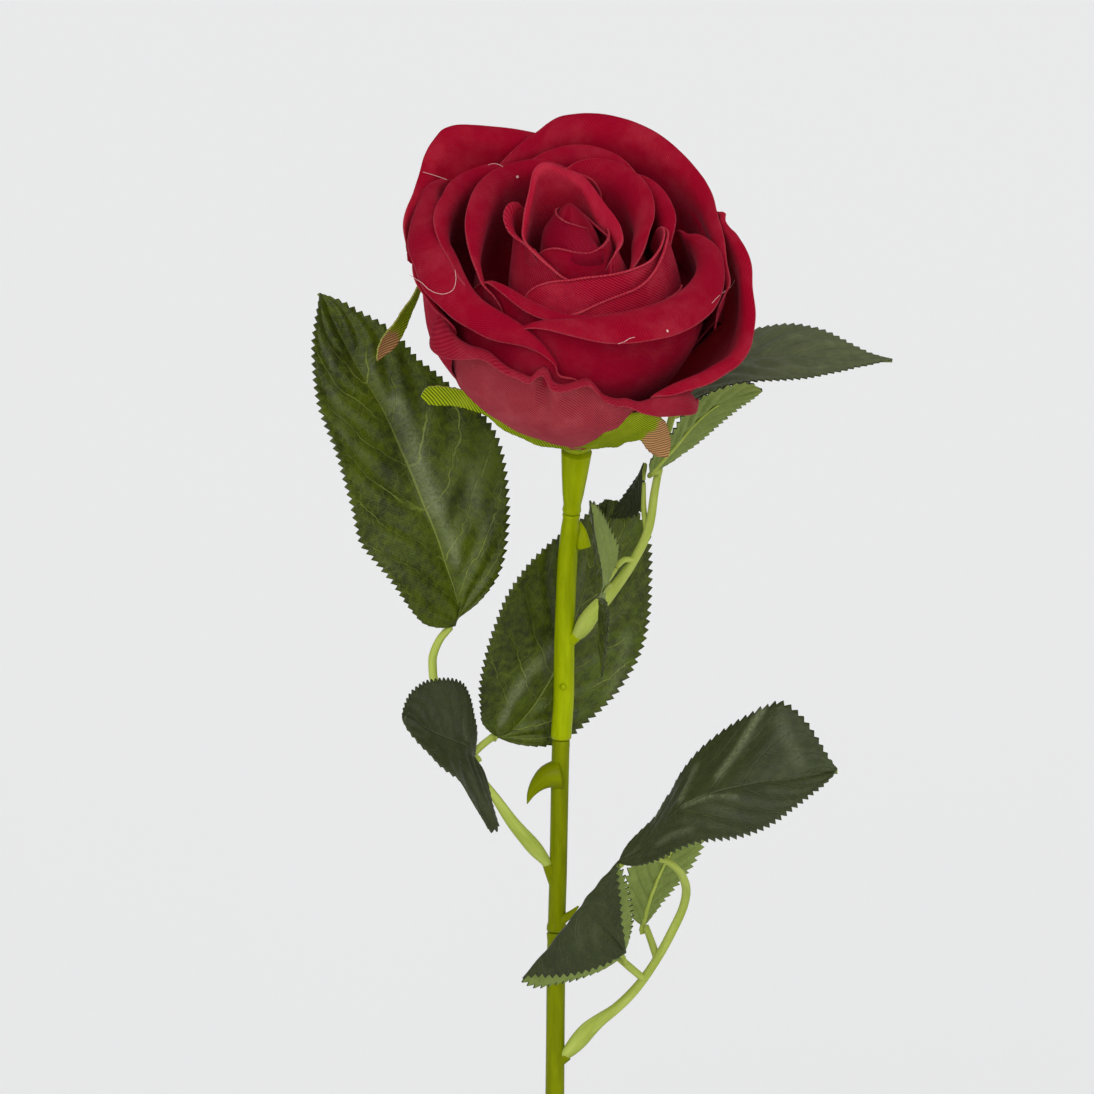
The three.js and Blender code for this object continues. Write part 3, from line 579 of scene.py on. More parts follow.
@dataclass(frozen=True)
class TwillFinish:
    """Dyed twill with a short nap: petals and sepals."""

    name: str
    ground: Colour
    raised: Colour
    pale_patches: Colour
    pitch: float = 0.55
    depth: float = 0.07
    roughness: float = 0.88
    sheen: float = 0.08
    sheen_tint: Colour = (0.7, 0.26, 0.34)
    nap_spread: float = 0.08
    glow: float = 0.3
    glow_radius: Colour = (1.0, 0.06, 0.12)
    glow_reach: float = 2.0
    tip: Colour | None = None
    tip_from: float = 0.7
    edge: Colour | None = None

    def material(self) -> Material:
        """Builds the cloth."""
        made, bench, shader = blank_finish(self.name)
        place = bench.map("cloth")
        weave = bench.group(Effects.get("twill"), Place=place, Pitch=self.pitch)
        shade = bench.cloud(place, 0.09, 4.0, 0.6)
        colour = bench.blend(weave.outputs["Rib"], self.ground, self.raised)
        colour = bench.blend(bench.stretch(shade, 0.4, 0.75, 0.0, 0.6), colour, self.pale_patches)
        if self.tip:
            _, along = bench.parts(bench.map("form"))
            edge = bench.plus(along, bench.sum("MULTIPLY_ADD", shade, 0.3, -0.15))
            browned = bench.blend(weave.outputs["Rib"], tuple(c * 0.25 for c in self.tip), self.tip)
            colour = bench.blend(bench.stretch(edge, self.tip_from, self.tip_from + 0.06), colour, browned)
        nap = bench.cloud(place, 3.2, 5.0, 0.75)
        if self.edge:
            _, near = bench.parts(bench.map("form"))
            threads = bench.times(bench.stretch(near, 0.992, 0.997),
                                bench.stretch(nap, 0.35, 0.65, 0.0, 0.55))
            flecks = bench.stretch(bench.cloud(place, 2.2, 2.0, 0.5), 0.74, 0.8, 0.0, 0.35)
            colour = bench.blend(bench.sum("MAXIMUM", threads, flecks), colour, self.edge)
        bench.dress(shader, colour, bench.stretch(nap, 0.2, 0.8, self.roughness - self.nap_spread,
                                                  min(self.roughness + self.nap_spread, 1.0)))
        bench.fix(shader, {"Specular IOR Level": 0.02, "Sheen Weight": self.sheen, "Sheen Roughness": 0.45,
                           "Sheen Tint": (*self.sheen_tint, 1.0), "Subsurface Weight": self.glow,
                           "Subsurface Radius": self.glow_radius, "Subsurface Scale": self.glow_reach * MM})
        bench.bump(shader, bench.sum("MULTIPLY_ADD", nap, 0.5, weave.outputs["Height"]), 0.55, self.depth)
        return made


@dataclass(frozen=True)
class FrayedEdgeFinish:
    """The cut edge of a cloth, where threads catch the light."""

    name: str
    dark: Colour
    light: Colour

    def material(self) -> Material:
        """Builds the edge."""
        made, bench, shader = blank_finish(self.name)
        threads = bench.cloud(bench.map("cloth"), 2.6, 4.0, 0.7)
        bench.dress(shader, bench.blend(bench.stretch(threads, 0.35, 0.65), self.dark, self.light),
                    bench.stretch(threads, 0.2, 0.8, 0.75, 0.95))
        bench.fix(shader, {"Specular IOR Level": 0.2})
        return made


@dataclass(frozen=True)
class LeafFinish:
    """Printed leaf cloth under a thin coat, with veins and a highlight painted on the raised ridges that each
    leaf lists.
    """

    name: str
    tissue: Colour
    shadow: Colour
    vein: Colour
    vein_strength: float = 0.5
    net_strength: float = 0.1
    # colour of the highlight painted on the ridges, also used for the random flecks
    painted_sheen: Colour = (0.2, 0.23, 0.12)
    roughness: float = 0.4
    specular: float = 0.22
    depth: float = 0.3

    def material(self) -> Material:
        """Builds the leaf cloth."""
        made, bench, shader = blank_finish(self.name)
        place, form = bench.map("cloth"), bench.map("form")
        _, along = bench.parts(form)
        veins = bench.group(Effects.get("veins"), Form=form, Place=place)
        weave = bench.group(Effects.get("twill"), Place=place, Pitch=0.6)
        shade = bench.cloud(place, 0.06, 4.0, 0.6)
        mottle = bench.sum("MULTIPLY_ADD", bench.cloud(place, 0.5, 4.0, 0.65), 0.5,
                           bench.times(shade, 0.5))
        colour = bench.blend(bench.stretch(mottle, 0.36, 0.62), self.shadow, self.tissue)
        colour = bench.blend(bench.times(weave.outputs["Rib"], 0.05), colour, self.vein)
        patchy = bench.stretch(bench.cloud(place, 0.07, 3.0), 0.4, 0.62, 0.12, 1.0)
        lines = bench.sum("MAXIMUM", bench.times(veins.outputs["Net"], self.net_strength),
                          bench.times(veins.outputs["Veins"], self.vein_strength))
        fading = bench.stretch(along, 0.3, 0.7, self.vein_strength, self.vein_strength * 0.3)
        lines = bench.sum("MAXIMUM", bench.times(lines, patchy),
                          bench.times(veins.outputs["Midrib"], fading))
        colour = bench.blend(lines, colour, self.vein)
        # Painted highlight: a paler colour on the raised ridges that each leaf lists, where the gloss would
        # catch the light.
        painted_sheen_weight = bench.node("ShaderNodeAttribute", attribute_name="painted_sheen_weight").outputs["Fac"]
        grain = bench.cloud(place, 1.3, 4.0, 0.7)
        painted_sheen = bench.times(painted_sheen_weight, bench.stretch(grain, 0.3, 0.65, 0.35, 1.0))
        colour = bench.blend(bench.times(painted_sheen, 0.75), colour, self.painted_sheen)
        # Random pale flecks, in the painted highlight's colour.
        flecks = bench.stretch(bench.cloud(place, 2.4, 2.0), 0.68, 0.76, 0.0, 0.35)
        colour = bench.blend(flecks, colour, self.painted_sheen)
        bench.dress(shader, colour, bench.stretch(bench.cloud(place, 0.4, 5.0, 0.7), 0.3, 0.75,
                                                  self.roughness - 0.08, self.roughness + 0.12))
        bench.fix(shader, {"Specular IOR Level": self.specular})
        sunk = bench.plus(bench.times(veins.outputs["Veins"], -0.6),
                         bench.times(veins.outputs["Net"], -0.25))
        sunk = bench.plus(sunk, bench.times(veins.outputs["Midrib"], -1.0))
        height = bench.plus(sunk, bench.times(weave.outputs["Height"], 0.07))
        bench.bump(shader, height, 0.6, self.depth)
        return made


@dataclass(frozen=True)
class PlasticFinish:
    """Moulded plastic with a faint parting line and uneven colour."""

    name: str
    base: Colour
    light: Colour
    roughness: float = 0.34
    seam: float = 0.5
    glow_reach: float = 0.6
    relief: float = 0.12

    def material(self) -> Material:
        """Builds the plastic."""
        made, bench, shader = blank_finish(self.name)
        place, form = bench.map("cloth"), bench.map("form")
        turn, _ = bench.parts(form)
        x, y = bench.parts(place)
        drawn = bench.joined(bench.times(x, 0.5), bench.times(y, 0.07))
        streaks = bench.cloud(drawn, 1.0, 4.0)
        spots = bench.stretch(bench.cloud(place, 0.9, 2.0), 0.7, 0.78, 0.0, 0.5)
        colour = bench.blend(bench.stretch(streaks, 0.3, 0.7), self.base, self.light)
        colour = bench.blend(spots, colour, tuple(c * 0.45 for c in self.base))
        bench.dress(shader, colour, bench.stretch(streaks, 0.2, 0.8, self.roughness - 0.1,
                                                  self.roughness + 0.1))
        bench.fix(shader, {"Specular IOR Level": 0.05, "Subsurface Weight": 0.08,
                           "Subsurface Scale": self.glow_reach * MM})
        half = bench.sum("FRACT", bench.sum("MULTIPLY_ADD", turn, 2.0, 0.3))
        half = bench.sum("ABSOLUTE", bench.sum("SUBTRACT", half, 0.5))
        seam = bench.stretch(half, 0.0, 0.05, self.seam, 0.0)
        ripple = bench.times(bench.cloud(place, 0.5, 4.0), 0.5)
        bench.bump(shader, bench.plus(seam, ripple), 0.4, self.relief)
        return made


@dataclass(frozen=True)
class GlazeFinish:
    """Off-white glaze that thins over edges, or the bare stoneware of the foot."""

    name: str
    base: Colour
    speck: Colour
    roughness: float
    coat: float
    relief: float = 0.25

    def material(self) -> Material:
        """Builds the glaze."""
        made, bench, shader = blank_finish(self.name)
        place = bench.node("ShaderNodeTexCoord").outputs["Object"]
        cloud = bench.cloud(place, 18.0, 4.0)
        specks = bench.stretch(bench.cloud(place, 620.0, 2.0), 0.7, 0.76)
        deeper = tuple(c * 0.86 for c in self.base)
        colour = bench.blend(bench.times(cloud, 0.35), self.base, deeper)
        colour = bench.blend(bench.times(specks, 0.6), colour, self.speck)
        bench.dress(shader, colour, bench.stretch(cloud, 0.2, 0.8, self.roughness * 0.8,
                                                  self.roughness * 1.2))
        bench.fix(shader, {"Coat Weight": self.coat})
        bench.bump(shader, bench.cloud(place, 90.0, 4.0), 0.25, self.relief)
        return made


@dataclass(frozen=True)
class WireFinish:
    """Drawn steel wire."""

    name: str = "wire steel"

    def material(self) -> Material:
        """Builds the steel."""
        made, bench, shader = blank_finish(self.name)
        grain = bench.cloud(bench.node("ShaderNodeTexCoord").outputs["Object"], 900.0, 3.0)
        bench.dress(shader, bench.blend(grain, (0.2, 0.2, 0.21), (0.4, 0.4, 0.41)),
                    bench.stretch(grain, 0.2, 0.8, 0.3, 0.5))
        bench.fix(shader, {"Metallic": 1.0})
        return made


# ---- Vase ----

@dataclass
class BudVase:
    """A plain bud vase with a narrow neck."""

    height: float = 150.0
    wall: float = 3.0
    floor: float = 5.0
    foot: float = 27.0
    hollow: float = 1.4
    outside: tuple[Point, ...] = ((28.6, 1.2), (32, 9), (36, 24), (37, 42), (32.5, 66), (22.5, 88),
                                  (13.8, 108), (10.9, 126), (11.1, 138), (13.2, 147.5))
    steps: int = 96

    def outer_line(self) -> list[Point]:
        """The outside's profile, evenly smoothed, foot to mouth."""
        line = SmoothLine(tuple((radius, 0.0, height) for radius, height in self.outside))
        points, _ = line.at(np.linspace(0, 1, 61))
        return [(float(x), float(z)) for x, _, z in points]

    def build(self) -> None:
        """Turns the vase: foot, outside, lip and inside in one profile."""
        outer = self.outer_line()
        mouth = outer[-1][0]
        half = self.wall / 2
        foot = [(0, self.hollow), (self.foot - 5, self.hollow), (self.foot - 4, 0.3), (self.foot - 3, 0),
                (self.foot, 0), (self.foot + 0.9, 0.35)]
        roll = [(mouth - half + half * math.cos(a), self.height - half + half * math.sin(a))
                for a in np.radians(np.arange(20, 180, 20))]
        inner = [(radius - self.wall, max(height, self.floor)) for radius, height in outer[3:]][::-1]
        bottom = [(inner[-1][0] - 2.5, self.floor), (0, self.floor)]
        profile = foot + outer + roll + inner + bottom
        bare = [1] * (len(foot) + 1)
        bench = MeshBench("vase_body")
        bench.turned(profile, self.steps, Matrix.Identity(4), bare + [0] * (len(profile) - len(bare)))
        glaze = GlazeFinish("off-white glaze", (0.80, 0.78, 0.73), (0.42, 0.36, 0.28), 0.2, 0.5).material()
        stone = GlazeFinish("bare stoneware", (0.55, 0.47, 0.38), (0.25, 0.2, 0.16), 0.8, 0.0).material()
        bench.object([glaze, stone], ("vase",))


# ---- Stem and stalks ----

@dataclass(frozen=True)
class Outgrowth:
    """A peg socket or a thorn on a sleeve."""

    points: tuple[Point, ...]
    radii: tuple[float, ...]


@dataclass
class Stem:
    """The sleeves moulded on the stem's wire, with their rings, sockets and thorns."""

    path: tuple[Point, ...] = (
        (-1.4, -4.2, 5.6), (0.1, 0.1, 69), (1.6, 4.8, 134), (1.9, 5.6, 158), (2.3, 7, 198.7),
        (2.7, 7.6, 213.7), (3.4, 8.3, 246.8), (4, 8.2, 256.3), (4.2, 7.6, 271.4), (4.6, 6.5, 284),
        (5.2, 4.5, 295.5), (5.9, 1.9, 304.2), (6.5, -0.7, 312.4), (7.1, -3.6, 320.4))
    step: float = 1.3
    sides: int = 36
    sleeves: dict[str, tuple[Point, ...]] = field(default_factory=lambda: {
        "stem_lower": ((5.6, 2.1), (60, 2.15), (120, 2.2), (150, 2.28), (190, 2.28), (196.8, 2.2),
                       (197.6, 2.3), (198.6, 2.4), (198.9, 2.25)),
        "stem_middle": ((199.2, 2.2), (199.6, 2.45), (200.6, 2.4), (201.4, 2.15), (215, 2.15), (232, 2.15),
                        (244.6, 2.15), (245.6, 2.2), (246.5, 2.1)),
        "stem_upper": ((246.8, 2.2), (247.2, 2.45), (248.2, 2.5), (250, 2.48), (262, 2.5), (280, 2.45),
                       (292, 2.4), (300, 2.2), (302.6, 2), (303.4, 2.16), (303.9, 2.05)),
        "stem_receptacle": ((304.2, 2.1), (304.7, 2.3), (305.4, 2.2), (306.2, 2.15), (309, 2.6),
                            (314, 3.15), (320.1, 3.7)),
    })
    outgrowths: dict[str, tuple[Outgrowth, ...]] = field(default_factory=lambda: {
        "stem_lower": (Outgrowth(((1.9, 5.7, 166), (3.4, 5.5, 167.3), (4.9, 5.2, 168.5)), (1.9, 1.4, 1.3)),),
        "stem_middle": (
            Outgrowth(((2.6, 7.5, 210.4), (1.2, 7.3, 213.2), (0.2, 7.1, 215.8)), (2, 1.5, 1.3)),
            Outgrowth(seen((560, 774, 8), (547, 777, 7.6), (537, 785, 6.9), (531, 794, 6.2), (527, 804, 5.6)),
                      (3.9, 3.1, 2, 1.1, 0.12)),
            Outgrowth(((2.4, 7.1, 201.5), (5, 6, 203.2), (7.6, 4.9, 205.9)), (1.7, 0.9, 0.25))),
        "stem_upper": (
            Outgrowth(((4.2, 7.6, 270), (5.7, 6.9, 271.5), (7.3, 6.2, 273)), (2, 1.5, 1.4)),
            Outgrowth(seen((578, 522, 5), (580.5, 532, 4.6), (582.5, 541, 4.3), (584, 548, 4.2)),
                      (0.6, 1.4, 1.7, 1.75)),
            Outgrowth(((4, 8.2, 260), (3.9, 5.4, 260.4), (3.9, 4.6, 260.5)), (1.2, 1, 0.6))),
    })

    def build(self) -> None:
        """Moulds each sleeve along the stem's line."""
        line = SmoothLine(self.path)
        fine = np.linspace(0, 1, 2001)
        heights = line.at(fine)[0][:, 2]
        plastics = [PlasticFinish(name, base, light).material() for name, base, light in (
            ("olive stem plastic", (0.13, 0.157, 0.0), (0.18, 0.215, 0.0)),
            ("yellow-green stem plastic", (0.24, 0.3, 0.0), (0.32, 0.39, 0.001)))]
        for index, (name, stations) in enumerate(self.sleeves.items()):
            knots = np.array(stations, float)
            at = np.unique(np.concatenate([np.arange(knots[0, 0], knots[-1, 0], self.step), knots[:, 0]]))
            centres, _ = line.at(np.interp(at, heights, fine))
            radii = np.interp(at, knots[:, 0], knots[:, 1])
            wobble = Ripples(40 + index, 22.0).at(at, 0 * at) * 0.03
            bench = MeshBench(name + "_sleeve")
            bench.rod(centres, radii + wobble, self.sides)
            for grown in self.outgrowths.get(name, ()):
                self.grow(bench, grown)
            bench.object([plastics[index > 1]], (name,))
        frame["nodes"]["stem_wire"].data.materials.clear()
        frame["nodes"]["stem_wire"].data.materials.append(WireFinish().material())

    def grow(self, bench: MeshBench, grown: Outgrowth) -> None:
        """Adds a socket or a thorn to its sleeve."""
        share = np.linspace(0, 1, 15)
        centres, _ = SmoothLine(grown.points).at(share)
        radii = np.interp(share, np.linspace(0, 1, len(grown.radii)), grown.radii)
        bench.rod(centres, softened(radii, 3), 20)


@dataclass
class Spray:
    """A leaf spray's stalk: a main stalk first, then its side stalks, as x, y, z and radius."""

    name: str
    lines: tuple[tuple[Point, ...], ...]
    step: float = 0.9

    def build(self, plastic: Material) -> None:
        """Moulds the stalk and its side stalks."""
        bench = MeshBench(self.name + "_moulding")
        for index, points in enumerate(self.lines):
            line = SmoothLine(points, 1)
            share = np.linspace(0, 1, max(8, int(line.length / self.step)))
            centres, radii = line.at(share)
            swell = Ripples(len(self.name) + index, 16.0).at(share * line.length, 0 * share) * 0.05
            bench.rod(centres, softened(radii[:, 0], 4) + swell, 20, flat=0.9)
        bench.object([plastic], (self.name,))


# ---- Leaves ----

class Tone(Enum):
    """How light a leaf's cloth is painted. The deep green is the plain cloth; the dull green is a darker,
    greyer copy that paints shade and a grey sheen on some leaves; the fair green is a paler copy that paints
    light on one.
    """

    DEEP = "deep green"
    PAINTED_SHADE = "dull green"
    PAINTED_LIGHT = "fair green"


@dataclass(frozen=True)
class LeafForm:
    """A plain curved leaf, which lends its depths to the lines read in the photo.

    The spine bends from its base over a middle point to its tip. `half` is how far the cloth reaches to
    either side of it, `fold` how many degrees both sides rise, `curl` how much they bend back, and `side`
    says on which side the first margin lies.
    """

    spine: tuple[Point, Point, Point]
    half: tuple[float, float]
    fold: float
    curl: float
    side: int
    face_at_tip: Point | None = None
    lean: tuple[float, float] = (0.8, 0.8)
    blunt: tuple[float, float] = (0.72, 0.72)
    taper: float = 0.18
    rows: int = 101
    fine: int = 401

    def line(self, side: int, face: Point) -> np.ndarray:
        """The spine, as side 0, or the margin on side 1 or -1.

        Args:
            side: which line.
            face: where the upper side looks at the base.

        Returns:
            The line's points.
        """
        base, middle, tip = (np.array(point, float) for point in self.spine)
        fine = np.linspace(0, 1, self.fine)[:, None]
        reach = run((1 - fine) ** 2 * base + 2 * fine * (1 - fine) * middle + fine ** 2 * tip)
        along = np.linspace(0, 1, self.rows)[:, None]
        share = np.interp(along[:, 0] * reach[-1], reach, fine[:, 0])[:, None]
        spine = (1 - share) ** 2 * base + 2 * share * (1 - share) * middle + share ** 2 * tip
        tangent = unit(2 * (1 - share) * (middle - base) + 2 * share * (tip - middle))
        turned = np.array(face) + (np.array(self.face_at_tip or face) - np.array(face)) * along
        normal = unit(turned - tangent * np.sum(turned * tangent, 1, keepdims=True))
        half, lean, blunt = (pair[side > 0] for pair in (self.half, self.lean, self.blunt))
        rounding = np.clip(np.sin(math.pi * along ** lean), 0, 1) ** blunt
        width = abs(side) * half * (rounding * (1 - self.taper * along) + 0.03)
        tilt = math.radians(self.fold)
        lift = width * math.sin(tilt) - self.curl * width ** 2 / 4
        return spine + np.cross(normal, tangent) * side * width * math.cos(tilt) + normal * lift

    def traced(self, outline: tuple[Point, ...], side: int, face: Point) -> tuple[Point, ...]:
        """A line read in the photo as px and py, at this form's depths.

        Args:
            outline: the line's points.
            side: the form's line that lends its depths.
            face: where the upper side looks at the base.

        Returns:
            The line in millimetres.
        """
        plain = self.line(side, face)
        shown, reach = run(np.array(outline, float)), run(plain)
        depths = np.interp(shown / shown[-1], reach / reach[-1], plain[:, 1])
        return seen(*((px, py, depth) for (px, py), depth in zip(outline, depths)))


@dataclass
class Leaf:
    """A toothed leaflet between two margins and its midrib, each a line from the base to the tip.

    With a form the lines are px and py of the photo, and without one they are millimetres. `tooth` is
    the length of a tooth and `bite` its depth, `wave` and `quilt` are how far the cloth bulges.
    """

    rows_per_tooth = 5
    columns = 33

    name: str
    face: Point
    stalk_end: Point
    one_margin: tuple[Point, ...]
    midrib: tuple[Point, ...]
    other_margin: tuple[Point, ...]
    seed: int
    wave: float = 0.9
    tooth: float = 2.1
    bite: float = 1.5
    quilt: float = 0.75
    cloth: float = 0.4
    tone: Tone = Tone.DEEP
    # Ridges, each x0, y0, x1, y1 as shares across and along the leaf, then a spread in millimetres and a
    # strength: raised, with a highlight painted on them.
    painted_sheen: tuple[Point, ...] = ()
    rib: float = 0.75
    form: LeafForm | None = None

    def lines(self) -> list[SmoothLine]:
        """One margin, the midrib and the other margin."""
        outlines = [self.one_margin, self.midrib, self.other_margin]
        if self.form:
            sides = (self.form.side, 0, -self.form.side)
            outlines = [self.form.traced(*read, self.face) for read in zip(outlines, sides)]
        return [SmoothLine(points) for points in outlines]

    def grid(self) -> Sheet:
        """The leaf's points and its two maps."""
        lines = self.lines()
        length = lines[1].length
        teeth = max(8, round(max(line.length for line in lines) / self.tooth))
        along = np.linspace(0, 1, teeth * self.rows_per_tooth + 1)
        first, centre, second = (line.at(along)[0] for line in lines)
        across = np.linspace(-1, 1, self.columns)
        share = np.abs(across)[None, :, None]
        margin = np.where(across[None, :, None] < 0, first[:, None], second[:, None])
        reach = margin - centre[:, None]
        width = np.linalg.norm(reach, axis=-1)
        normal = unit(np.cross(second - first, lines[1].tangents(along)))
        normal = softened(normal, 12)
        phase = (np.arange(len(along)) % self.rows_per_tooth)[:, None] / float(self.rows_per_tooth)
        fade = np.clip(width / 5, 0, 1) * np.clip((along[:, None] - 0.06) * 6, 0.15, 1)
        jag = self.bite * (phase - 0.6) * share[..., 0] ** 8 * fade
        vein = np.sin(2 * math.pi * (LEAF_VEINS * (along[:, None] - LEAF_SLANT * share[..., 0] ** 1.25)))
        aside = across[None] * width
        pillow = share[..., 0] ** 0.7 * (1 - share[..., 0]) * 1.9
        relief = self.quilt * vein * pillow * np.clip(width / 8, 0, 1)
        swell = Ripples(self.seed, 34.0).at(aside, along[:, None] * length)
        relief = relief + self.wave * share[..., 0] ** 1.5 * swell
        relief = relief - 0.6 * np.exp(-(share[..., 0] * 8) ** 2)
        # The ridges that carry the painted highlight are also raised.
        relief = relief + 0.7 * self.painted_sheen_ridges(across, along, width, length)
        points = centre[:, None] + reach * share + unit(reach) * jag[..., None]
        points = points + normal[:, None] * relief[..., None]
        cloth = sheet_map(aside + 61.0 * self.seed, along[:, None] * length)
        form = sheet_map((across[None] + 1) / 2, along[:, None])
        quarter = len(along) // 4
        if np.sum(np.mean(normal[:quarter], axis=0) * np.array(self.face)) < 0:
            points, cloth, form = points[:, ::-1], cloth[:, ::-1], form[:, ::-1]
        return points, cloth, form

    def painted_sheen_ridges(self, across: np.ndarray, along: np.ndarray, width: np.ndarray, length: float) -> np.ndarray:
        """How much each point lies on a raised ridge with a painted highlight, 0 to 1.

        Args:
            across: places across the leaf, -1 to 1.
            along: places along it, 0 to 1.
            width: the half widths, in millimetres.
            length: the midrib's length.

        Returns:
            The strength at each point.
        """
        total = np.zeros((len(along), len(across)))
        scale = np.array([float(np.max(width)), length])
        here = sheet_map(across[None], along[:, None]) * scale
        for x0, y0, x1, y1, spread, strength in self.painted_sheen:
            start, end = np.array([x0, y0]) * scale, np.array([x1, y1]) * scale
            way = end - start
            share = np.clip(((here - start) @ way) / max(float(way @ way), 1e-6), 0, 1)[..., None]
            gap = np.linalg.norm(here - start - share * way, axis=-1)
            total = np.maximum(total, strength * np.exp(-(gap / spread) ** 2))
        return total

    def build(self, uppers: dict[Tone, Material], finishes: list[Material]) -> None:
        """Cuts the leaf and glues its rib to the underside.

        Args:
            uppers: the upper side's cloth for each dye.
            finishes: the underside, the cut edge and the rib's plastic.
        """
        bench = MeshBench(self.name + "_cloth")
        points, cloth, form = self.grid()
        across, along = form[0, :, 0] * 2 - 1, form[:, 0, 1]
        span = np.linalg.norm(points[:, -1:] - points[:, :1], axis=-1) / 2
        # The ridges' strength is stored on the mesh, for painting the highlight.
        bench.lay(points, cloth, form, painted_sheen_weight=self.painted_sheen_ridges(across, along, span, self.lines()[1].length))
        bench.object([uppers[self.tone], *finishes[:2]], (self.name,), self.cloth)
        middle = points.shape[1] // 2
        last = int(points.shape[0] * 0.72)
        centre = points[:last:4, middle]
        under = unit(np.cross(points[:last:4, middle + 2] - points[:last:4, middle - 2],
                              np.gradient(centre, axis=0)))
        start = np.array(self.stalk_end, float)
        line = np.vstack([start, (start + centre[0]) / 2, centre - under * 0.45])
        rib = MeshBench(self.name + "_rib")
        taper = np.concatenate([[1.0, 0.96], np.linspace(0.83, 0.27, len(centre))])
        rib.rod(line, self.rib * taper, 12)
        rib.object([finishes[2]], (self.name,))


# ---- Bloom ----

class Weave(Enum):
    """How strongly a petal's twill shows; the outer petal's cloth is also paler and pinker, partly from dust
    and partly a painted sheen.
    """

    SOFT = "soft"
    BOLD = "bold"
    DUSTY_WITH_PAINTED_SHEEN = "dusty with painted sheen"
    DEEP = "deep"


